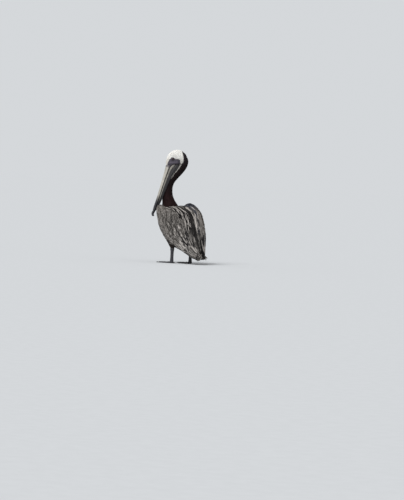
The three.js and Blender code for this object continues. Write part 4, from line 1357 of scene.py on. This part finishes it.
class PELICAN_OT_neck(bpy.types.Operator):
    """Velvety plumes of the neck, flaring into a collar over the mantle"""

    bl_idname = "pelican.neck"
    bl_label = "Neck"

    def execute(self, context):
        sizes, hues = sizes_and_hues(context)
        finish = feather_finish("neck_vanes", 9, 0.75, 0.2)
        rng = np.random.default_rng(17)
        coat("neck_plumes", "neck_feathers", [self.velvet(rng, sizes, hues)], finish)
        coat("collar", "neck_feathers", [self.collar(rng, hues)], finish)
        return {"FINISHED"}

    @staticmethod
    def velvet(rng, sizes, hues):
        """Short plumes all round the neck, longest at its base."""
        s, t = scatter(rng, (0.0, 0.965), (0, 1), 146, 84)
        layer = Layer(NECK_PLUME, rng, hues, s, t)
        long = sizes.neck_plume * (1.5 - 0.6 * s) * layer.within(0.8, 1.2)
        half = 1.15 * (1.2 - 0.45 * s) * layer.within(0.75, 1.2)
        layer.lie(neck, -1, -long, layer.near(0, 0.13), layer.near(0.1, 0.35), half, layer.near(0, 0.15))
        return layer.dye(layer.markings(1), 0.12, edge=0.12)

    @staticmethod
    def collar(rng, hues):
        """Longer plumes round the base of the neck that stand off it, near-black at their edge where
        the neck meets the body, as painted shade.
        """
        s, t = scatter(rng, (-0.05, 0.16), (0, 1), 19, 72)
        layer = Layer(COLLAR, rng, hues, s, t)
        layer.lie(neck, -1, -layer.within(16, 36), layer.near(0, 0.14), layer.near(6.5, 2.2),
                  2.2 * layer.within(0.75, 1.2), layer.near(0, 0.18))
        tone = toward(hues.foreneck, hues.gap, 1 - soft(s, -0.02, 0.07))
        return layer.dye(tone, 0.16, edge=0.3, tip=0.4)


class PELICAN_OT_head_plumes(bpy.types.Operator):
    """Short plumes of crown and cheek, bare of the face, and the crest of the nape"""

    bl_idname = "pelican.head_plumes"
    bl_label = "Head plumes"

    def execute(self, context):
        sizes, hues = sizes_and_hues(context)
        finish = feather_finish("head_vanes", 6, 0.7, 0.06, 1.0)
        rng = np.random.default_rng(23)
        s, t = scatter(rng, (-0.01, 1.0), (0, 1), 168, 168)
        root = head(s, t)
        clothed = bare_face(root) < -0.3 - 1.0 * rng.random(len(s))
        above = off_ridge(t) < 0.4
        for name, part in (("crown_plumes", above), ("cheek_plumes", ~above)):
            keep = clothed & part
            layer = self.velvet(rng, s[keep], t[keep], root[keep], sizes, hues)
            coat(name, "crown_feathers", [layer], finish)
        coat("crest", "crown_feathers", self.crest(rng, sizes, hues), finish)
        return {"FINISHED"}

    @staticmethod
    def velvet(rng, s, t, root, sizes, hues):
        """Fine short plumes that run back from the bill, longest towards the nape."""
        layer = Layer(VELVET, rng, hues, s, t)
        back = soft(head_shares(root)[0], -110, 0)
        long = sizes.crown_plume * (0.6 + 0.7 * back) * layer.within(0.8, 1.25)
        half = (0.5 + 0.3 * back) * layer.within(0.75, 1.2)
        layer.lie(head, -1, -long, layer.near(0, 0.12), layer.near(0.3, 0.14), half, layer.near(0, 0.2))
        return layer.dye(layer.markings(1), 0.05)

    @staticmethod
    def crest(rng, sizes, hues):
        """Loose plumes of the nape and the upper hindneck that stand a little off the neck."""
        layers = []
        for surface, count, s_range, centre, spread, share, lifts in (
                (head, 420, (0.0, 0.2), 0.0, 0.12, 1.0, (-6.0, 4.5)),
                (neck, 300, (0.78, 0.95), 0.5, 0.07, 0.8, (-0.5, 6.0))):
            s = rng.uniform(*s_range, count)
            layer = Layer(CREST, rng, hues, s, rng.normal(centre, spread, count))
            long = sizes.crest_plume * share * layer.within(0.45, 1.0)
            layer.lie(surface, -1, -long, layer.near(0, 0.16), layer.within(*lifts),
                      0.9 * layer.within(0.6, 1.2), layer.near(0, 0.3))
            layers.append(layer.dye(layer.markings(2), 0.15, place=(layer.t % 1.0, s)))
        return layers


# ---- operators: the bare parts ---------------------------------------------------------
def bill_loft(start, end, ridge, edge, half_width, relief, rounded=0.0):
    """Rounded sections down the bill; relief moves a section's points out by a formula, and
    the base is rounded off as an ellipse over a share of the length."""

    @on_arrays
    def at(s, t):
        c, e = round_of(t, BILL_ROUND)
        grown = 1.0
        if rounded:
            grown = np.sqrt(np.maximum(1 - (1 - np.clip(s / rounded, 0, 1)) ** 2, 0.02))
        half = (edge(s) - ridge(s)) / 2 * grown
        swell = relief(s, t)
        below = (ridge(s) + edge(s)) / 2 - (half + swell) * c
        return bill_place(start + (end - start) * s, below, (half_width(s) * grown + swell) * e)

    return at


class PELICAN_OT_bill(bpy.types.Operator):
    """Upper mandible with its raised ridge, the hooked nail, and the lower mandible"""

    bl_idname = "pelican.bill"
    bl_label = "Bill"

    def execute(self, context):
        hues = sizes_and_hues(context)[1]
        horn = horn_finish("bill_horn_worn", 0.42)
        for part in (self.upper, self.nail, self.lower):
            part(hues, horn)
        return {"FINISHED"}

    @staticmethod
    def upper(hues, horn):
        """Pale, then dark towards the tip, with bare skin at the base and in shade below."""

        def relief(s, t):
            """A round ridge on top, a groove either side of it and a rolled cutting edge."""
            off = off_ridge(t)
            ridge = 1.5 * bell(off, 0, 0.17) * (1 - 0.4 * s)
            groove = -1.2 * bell(off, 0.36, 0.07)
            rim = 0.8 * bell(off, 0.56, 0.1)
            flakes = 0.14 * np.sin(60 * s + 9 * off) * np.sin(23 * off + 31 * s)
            return (ridge + groove + rim + flakes) * soft(s, 0, 0.04) * (1 - 0.7 * soft(s, 0.93, 1))

        ridge = curve([0, 2.2, 3.2, 3.6, 3.6, 3.1, 2.2, 1.0, 3.6])
        edge = curve([23, 19, 17, 15, 14, 13.5, 13, 13, 9])
        width = curve([18, 16.2, 14.7, 13.7, 13.2, 13.2, 13.2, 11.8, 5])

        def tint(s, t):
            off = off_ridge(t)
            tone = toward(hues.bill_pale, hues.bill_dark, soft(s + 0.05 * np.sin(9 * t), 0.6, 0.8))
            base = 1 - soft(s + 0.006 * np.sin(23 * off), 0.02 + 0.015 * off, 0.05 + 0.015 * off)
            return toward(tone, hues.face, 0.75 * base + 0.55 * soft(off, 0.5, 0.62) * (1 - base))

        at = bill_loft(-3, CULMEN - 8, ridge, edge, width, relief)
        bare_piece("upper_mandible", at, 150, 64, tint, horn, "bill_horn", "bill_upper")

    @staticmethod
    def nail(hues, horn):
        """Rounded sections square to a line that hooks down over the tip, with a low keel."""
        line = curve([[CULMEN - 22, 5], [CULMEN - 10, 5.8], [CULMEN - 1, 10], [CULMEN + 1, 17]])
        thick, broad = curve([5.2, 6.5, 6, 1.6]), curve([8, 8, 6, 2])

        @on_arrays
        def at(s, t):
            ahead = unit(line(s + 0.01) - line(s - 0.01))
            c, e = round_of(t, 2)
            keel = 1 + 0.12 * bell(off_ridge(t), 0, 0.16)
            p = line(s) + stack(ahead[..., 1], -ahead[..., 0]) * (thick(s) * c * keel)[..., None]
            return bill_place(p[..., 0], p[..., 1], broad(s) * e)

        bare_piece("nail", at, 36, 32, lambda s, t: hues.bill_dark * (0.8 + 0.5 * s[:, None]), horn,
                   "bill_horn", "bill_nail")

    @staticmethod
    def lower(hues, horn):
        """Dull horn, dark at the tip and below, with painted shade along its top under the upper
        mandible.
        """

        def relief(s, t):
            """A groove along each side of the mandible."""
            off = off_ridge(t)
            return (0.12 * np.sin(70 * s + 11 * off) - 0.9 * bell(off, 0.5, 0.1)) * soft(s, 0, 0.05)

        ridge = curve([32, 21, 18, 16, 15, 14.3, 13.8, 13.2, 9.5])
        edge = curve([56, 37, 30, 27, 25, 23.5, 22, 19.5, 13.5])
        width = curve([20.5, 18.3, 16.3, 14.8, 13.8, 13.3, 12.3, 9.8, 4])

        def tint(s, t):
            off, outer = off_ridge(t), soft(s, 0.2, 0.5)
            low = soft(off, 0.84 - 0.34 * outer, 0.98 - 0.36 * outer)
            dark = np.maximum.reduce([soft(s, 0.62, 0.8), 0.9 * low, 0.8 * (1 - soft(off, 0.1, 0.24))])
            return toward(hues.bill_pale * 0.55, hues.bill_dark, dark)

        at = bill_loft(-26, CULMEN * 0.955, ridge, edge, width, relief, 0.1)
        bare_piece("lower_mandible", at, 150, 48, tint, horn, "bill_horn", "bill_lower")


class PELICAN_OT_pouch(bpy.types.Operator):
    """The folded pouch under the lower mandible, in long pleats"""

    bl_idname = "pelican.pouch"
    bl_label = "Pouch"

    def execute(self, context):
        hues = sizes_and_hues(context)[1]

        def pleats(s, t):
            """Waves round the pouch that bend slowly along it, -1 to 1."""
            off = off_ridge(t)
            return np.sin(46 * off + 5 * np.sin(6 * s + 3 * off) + 9 * s)

        def relief(s, t):
            """Pleats that run along the pouch, deepest below, crossed by fine wrinkles."""
            off = off_ridge(t)
            folds = 0.8 * pleats(s, t) * soft(off, 0.25, 0.6) + 0.12 * np.sin(150 * s + 7 * np.sin(14 * off))
            return folds * soft(s, 0.0, 0.1) * (1 - 0.8 * soft(s, 0.85, 1))

        ridge = curve([44, 34, 25, 21.5, 20, 19, 18, 16.5, 13])
        edge = curve([83, 68, 53, 45.2, 40.2, 36.3, 33, 27.5, 18])
        width = curve([18.4, 19.4, 17.4, 15.4, 13.5, 11.5, 9, 6.6, 3])
        at = bill_loft(-34, CULMEN * 0.9, ridge, edge, width, relief, 0.12)
        # Painted shade: the tint is darker in the troughs of the pleats and lighter on their crests.
        bare_piece("pouch_skin", at, 190, 120,
                   lambda s, t: hues.pouch * (0.85 + 0.25 * pleats(s, t))[:, None],
                   bare_finish("pouch_leather", 0.5, 1100, 320, 0.0003), "bare_skin", "pouch")
        return {"FINISHED"}


LID_REACH = 11.0  # radius at which the lids run into the face
LID_SLOPE = 0.85
LID_FRONT = 0.85  # share of the lids' loft that is their outer face


class PELICAN_OT_eyes(bpy.types.Operator):
    """Eyeballs with a brown iris, and the lids round them"""

    bl_idname = "pelican.eyes"
    bl_label = "Eyes"

    def execute(self, context):
        sizes, hues = sizes_and_hues(context)
        wet, lid_skin = eye_finish(), bare_finish("lid_skin", 0.5, 2200, 500, 0.0001)

        def eye_tint(s, t):
            """A dark pupil, an iris with fibres out from it, and a dark rim."""
            angle = s * math.pi
            fibre = 1 + 0.25 * np.sin(2 * np.pi * t * 40) * np.sin(angle * 30)
            iris = hues.iris * (fibre * (1.25 - 0.7 * soft(angle, 0.5, 0.8)))[:, None]
            tone = toward(0.004, iris, soft(angle, 0.3, 0.34))
            return toward(tone, 0.012, soft(angle, 0.74, 0.82))

        def lid_tint(s, t):
            """Darker at the lids' margin."""
            return hues.face * (0.5 + 0.3 * soft(np.abs(s - 0.1), 0.0, 0.12))[:, None]

        for name, side in SIDES.items():
            bare_piece(f"eyeball_{name}", self.ball(side), 90, 96, eye_tint, wet, "eye", f"eye_{name}")
            lids = self.lids(side, sizes.eye_opening / 2)
            bare_piece(f"lids_{name}", lids, 72, 96, lid_tint, lid_skin, "bare_skin")
        return {"FINISHED"}

    @staticmethod
    def ball(side):
        """A sphere about the eye's axis: s is the angle from the axis, t turns round it, with
        the cornea standing out a little in front."""

        def at(s, t):
            tilt = np.pi * (0.002 + 0.996 * s)
            r = EYE_RADIUS + 0.45 * (1 - soft(tilt, 0.2, 0.75))
            turn = 2 * np.pi * t
            level = r * np.sin(tilt)
            return eye_place(side, level * np.cos(turn), level * np.sin(turn), r * np.cos(tilt))

        return at

    @staticmethod
    def lids(side, opening):
        """A ring that slopes from the rolled margin of the lids, just outside the eyeball, down
        to the face in shallow rings of folds; closed behind by a straight wall."""

        def at(s, t):
            turn = 2 * np.pi * t
            margin = opening * (1 - 0.13 * np.sin(turn) ** 2 + 0.05 * np.cos(turn) * np.abs(np.sin(turn)))
            front = np.clip(s / LID_FRONT, 0, 1)
            behind = np.clip((s - LID_FRONT) / (1 - LID_FRONT), 0, 1)
            reach = margin + (LID_REACH - margin) * front**1.15
            top = math.sqrt((EYE_RADIUS + 0.9) ** 2 - opening**2)
            high = top - LID_SLOPE * (reach - margin)
            folds = 0.16 * np.sin(reach * 4.2 + 0.8 * np.sin(3 * turn)) * soft(front, 0.08, 0.3)
            rolled = 0.5 * (1 - soft(front, 0.0, 0.1))
            reach = reach - behind * (LID_REACH - margin)
            inner = np.sqrt(np.maximum((EYE_RADIUS - 0.5) ** 2 - np.minimum(reach, 6.8) ** 2, 0)) - 1.5
            back = np.minimum(top - LID_SLOPE * (reach - margin) - 1.0, inner)
            high = np.where(behind > 0, back, high + folds - rolled)
            return eye_place(side, reach * np.cos(turn), reach * np.sin(turn), high)

        return at


TOES = ((44, -72, 7.0), (76, -22, 8.5), (100, 4, 9.0), (92, 28, 8.5))  # length, degrees, thickness
FOOT_HEADING = {1: 0, -1: 8}
CLAW = 9
SHANK_HALF = (10.6, 9.0)  # ahead and aside


def foot_place(side, reach, outward, up):
    """A point of a foot: reach from the leg in the direction of a toe, at a height."""
    heading = np.radians(side * np.asarray(outward, float) + FOOT_HEADING[side])
    return bird(LEG_AHEAD[side] + reach * np.cos(heading), side * LEG_SPREAD + reach * np.sin(heading), up)


def toe_side(side, outward):
    """The level direction square to a toe."""
    return np.cross(foot_place(side, 1, outward, 0) - foot_place(side, 0, outward, 0), UP)


class PELICAN_OT_legs(bpy.types.Operator):
    """Scaled legs with webbed feet, and their claws"""

    bl_idname = "pelican.legs"
    bl_label = "Legs and feet"

    def execute(self, context):
        hues = sizes_and_hues(context)[1]
        scales = bare_finish("leg_scales", 0.5, 700, 240, 0.0004)
        horn = horn_finish("claw_horn", 0.35)
        for name, side in SIDES.items():
            shapes = [closed_grid(self.shank(side), 90, 48)[:2], closed_grid(self.heel(side), 12, 32)[:2]]
            shapes += [closed_grid(self.toe(side, *toe), 70, 24)[:2] for toe in TOES]
            shapes += [closed_grid(self.web(side, a, b), 40, 60)[:2] for a, b in zip(TOES, TOES[1:])]
            leg = fused(f"leg_and_foot_{name}", shapes, LEG_VOXEL, 2)
            points = vertices_of(leg.data)
            points[:, 2] = np.maximum(points[:, 2], 0.0)
            leg.data.vertices.foreach_set("co", metres(points))
            leg.data.update()
            # Painted shade: darker within a few millimetres of the ground.
            paint(leg.data, hues.leg * (0.75 + 0.25 * soft(points[:, 2], 1.0, 7.0))[:, None])
            ridden(leg, scales, "leg_skin", f"leg_{name}", f"foot_{name}")
            for number, (length, outward, _) in enumerate(TOES, 1):
                bare_piece(f"claw_{name}_{number}", self.claw(side, length, outward), 20, 20,
                           lambda s, t: hues.claw * (1.3 - 0.5 * s[:, None]), horn, "bill_horn")
        return {"FINISHED"}

    @staticmethod
    def shank(side):
        """An upright shank whose radii follow a profile, with rows of scales that overlap down."""
        levels = curve([5, 16, 30, 50, 68, 80, TARSUS_TOP])
        swell = curve([1.15, 1.02, 0.92, 0.9, 0.98, 1.16, 0.9])

        @on_arrays
        def at(s, t):
            rows = 26 * s + 0.5 * np.floor(12 * t)
            scale = 0.35 * (rows % 1.0) * soft(np.abs(np.sin(12 * np.pi * t)), 0.1, 0.5)
            a, b = (half * swell(s) + scale for half in SHANK_HALF)
            c, e = round_of(t, 2)
            return bird(LEG_AHEAD[side], side * LEG_SPREAD, levels(s)) + stack(a * c, b * e, 0 * s)

        return at

    @staticmethod
    def heel(side):
        """The swelling where the toes meet."""

        def at(s, t):
            tilt = np.pi * (0.03 + 0.94 * s)
            turn = 2 * np.pi * t
            base = bird(LEG_AHEAD[side] + 1, side * LEG_SPREAD, 6.0)
            out = np.sin(tilt)
            return base + stack(12 * out * np.cos(turn), 10 * out * np.sin(turn), 5.6 * np.cos(tilt))

        return at

    @staticmethod
    def toe(side, length, outward, thick):
        """A tapering toe on the ground, swollen at its joints and ringed with scutes above."""
        taper = curve([0.62, 0.5, 0.42, 0.36, 0.26])
        sideways = toe_side(side, outward)
        knuckles = (0.3, 0.58, 0.8)

        @on_arrays
        def at(s, t):
            half = thick * (taper(s) + 0.084 * sum(bell(s, k, 0.06) for k in knuckles))
            c, e = round_of(t, 2)
            scute = 0.35 * ((s * length / 3.4) % 1.0) * np.maximum(e, 0)
            reach = -4 + (length - CLAW + 5) * s
            centre = foot_place(side, reach, outward, half * 0.8)
            return centre + sideways * (half * c)[..., None] + UP * ((half + scute) * e)[..., None]

        return at

    @staticmethod
    def web(side, first, second):
        """A thin sheet between two toes, scalloped at its front edge, with ripples between."""

        @on_arrays
        def at(s, t):
            w = np.where(t < 0.5, 2 * t, 2 - 2 * t)
            scallop = 1 - 0.2 * np.sin(np.pi * w)
            reach = (8 + (first[0] + (second[0] - first[0]) * w - CLAW - 10) * s) * scallop
            angle = first[1] + (second[1] - first[1]) * w
            ripple = 0.35 * np.sin(9 * np.pi * w) * s + 0.22 * np.sin(reach * 0.9 + 3 * w)
            thick = 1.0 + 0.9 * (1 - np.sin(np.pi * w) ** 0.6)
            up = np.where(t < 0.5, 1.7 + thick + ripple * np.sin(np.pi * w), 0.0)
            return foot_place(side, reach, angle, up)

        return at

    @staticmethod
    def claw(side, length, outward):
        """A short cone that curves down to the ground as the square of the way along."""
        sideways = toe_side(side, outward)

        @on_arrays
        def at(s, t):
            half = 2.3 - 1.9 * s**1.5
            c, e = round_of(t, 2)
            centre = foot_place(side, length - CLAW - 2 + (CLAW + 2) * s, outward, 3.2 - 2.5 * s**2)
            return centre + sideways * (0.8 * half * c)[..., None] + UP * (half * e)[..., None]

        return at


# ---- stage -----------------------------------------------------------------------------
VIEW_AZIMUTH = math.radians(45)
VIEW_RISE = math.radians(1.6)
VIEW_ROLL = math.radians(3)
VIEW_DISTANCE = 14.0  # metres from the bird to the camera
VIEW_HEIGHT = 2.825  # metres of the picture's height at the bird
VIEW_RIGHT = 0.118  # metres from the ground point to the picture's centre
VIEW_UP = 0.082
AMBIENT = 0.46
KEY = 2.1
KEY_LEFT = math.radians(34)  # of the viewer
KEY_RISE = math.radians(52)
KEY_SPREAD = math.radians(28)
SENSOR = 36  # width of the camera's sensor
FLOOR_SIZE = 400.0


def direction(azimuth, rise):
    """The way from the bird to a place at an azimuth and a rise."""
    level = math.cos(rise)
    return Vector((math.sin(azimuth) * level, -math.cos(azimuth) * level, math.sin(rise)))


class PELICAN_OT_stage(bpy.types.Operator):
    """Pale floor, soft studio light and the camera"""

    bl_idname = "pelican.stage"
    bl_label = "Floor, light and camera"

    def execute(self, context):
        hues = sizes_and_hues(context)[1]
        scene = context.scene
        scene.view_settings.view_transform = "Standard"
        self.floor(hues)
        self.lights(scene, hues)
        self.camera(scene)
        return {"FINISHED"}

    @staticmethod
    def floor(hues):
        """A wide square of plaster."""
        mesh = bpy.data.meshes.new("floor")
        half = FLOOR_SIZE / 2
        corners = [(-half, -half, 0), (half, -half, 0), (half, half, 0), (-half, half, 0)]
        mesh.from_pydata(corners, [], [(0, 1, 2, 3)])
        n = Nodes("floor_plaster", 1.0, 0.0)
        grain = n.spread(n.noise(n.object_place(), 30, 4), 0.3, 0.7, 0.985, 1.01)
        base = n.add("ShaderNodeRGB", {})
        base.outputs[0].default_value = (*hues.ground, 1.0)
        mesh.materials.append(n.finish(n.times(base.outputs[0], grain)))
        placed("floor", mesh)

    @staticmethod
    def lights(scene, hues):
        """A broad soft key from high on the viewer's left, and an even sky."""
        key = bpy.data.lights.new("key", "SUN")
        key.energy = KEY
        key.angle = KEY_SPREAD
        lamp = placed("key", key)
        source = direction(VIEW_AZIMUTH - KEY_LEFT, KEY_RISE)
        lamp.rotation_euler = (-source).to_track_quat("-Z", "Y").to_euler()
        world = bpy.data.worlds.new("studio")
        scene.world = world
        world.use_nodes = True
        tree = world.node_tree
        background = tree.nodes["Background"]
        background.inputs["Strength"].default_value = 1.0
        mix = tree.nodes.new("ShaderNodeMix")
        mix.data_type = "RGBA"
        path = tree.nodes.new("ShaderNodeLightPath")
        tree.links.new(path.outputs["Is Camera Ray"], mix.inputs["Factor"])
        mix.inputs["A"].default_value = (AMBIENT, AMBIENT, AMBIENT, 1)
        lit = AMBIENT + KEY * math.sin(KEY_RISE) / math.pi
        mix.inputs["B"].default_value = (*[c * lit for c in hues.ground], 1)
        tree.links.new(mix.outputs["Result"], background.inputs["Color"])

    @staticmethod
    def camera(scene):
        """Looks at the picture's centre from the viewing angle, far enough for a long lens."""
        data = bpy.data.cameras.new("camera")
        data.sensor_width = SENSOR
        data.lens = SENSOR * VIEW_DISTANCE / VIEW_HEIGHT
        data.clip_end = 500
        camera = placed("camera", data)
        back = direction(VIEW_AZIMUTH, VIEW_RISE)
        right = Vector((math.cos(VIEW_AZIMUTH), math.sin(VIEW_AZIMUTH), 0))
        ground = Vector((SHIFT[0] / 1000, SHIFT[1] / 1000, 0))
        aim = ground + right * VIEW_RIGHT + Vector((0, 0, VIEW_UP))
        camera.location = aim + back * VIEW_DISTANCE
        camera.rotation_mode = "QUATERNION"
        camera.rotation_quaternion = (-back).to_track_quat("-Z", "Y") @ Quaternion((0, 0, 1), VIEW_ROLL)
        scene.camera = camera


PIECES = (PELICAN_OT_skin, PELICAN_OT_wing_coverts, PELICAN_OT_flight_feathers, PELICAN_OT_scapulars,
          PELICAN_OT_underparts, PELICAN_OT_tail, PELICAN_OT_neck, PELICAN_OT_head_plumes,
          PELICAN_OT_bill, PELICAN_OT_pouch, PELICAN_OT_eyes, PELICAN_OT_legs, PELICAN_OT_stage)


class PELICAN_PT_panel(bpy.types.Panel):
    """Lists the pieces and their sizes and colours"""

    bl_label = "Pelican"
    bl_idname = "PELICAN_PT_panel"
    bl_space_type = "VIEW_3D"
    bl_region_type = "UI"
    bl_category = "Pelican"

    def draw(self, context):
        for piece in PIECES:
            self.layout.operator(piece.bl_idname)
        for group in (context.scene.pelican_sizes, context.scene.pelican_colours):
            for key in group.__annotations__:
                self.layout.prop(group, key)


CLASSES = (PelicanSizes, PelicanColours, *PIECES, PELICAN_PT_panel)


def register():
    for cls in CLASSES:
        bpy.utils.register_class(cls)
    bpy.types.Scene.pelican_sizes = bpy.props.PointerProperty(type=PelicanSizes)
    bpy.types.Scene.pelican_colours = bpy.props.PointerProperty(type=PelicanColours)


def unregister():
    del bpy.types.Scene.pelican_colours
    del bpy.types.Scene.pelican_sizes
    for cls in reversed(CLASSES):
        bpy.utils.unregister_class(cls)


def main():
    """Registers the classes and makes every piece in order."""
    register()
    for piece in PIECES:
        group, name = piece.bl_idname.split(".")
        getattr(getattr(bpy.ops, group), name)()


if __name__ == "__main__":
    main()
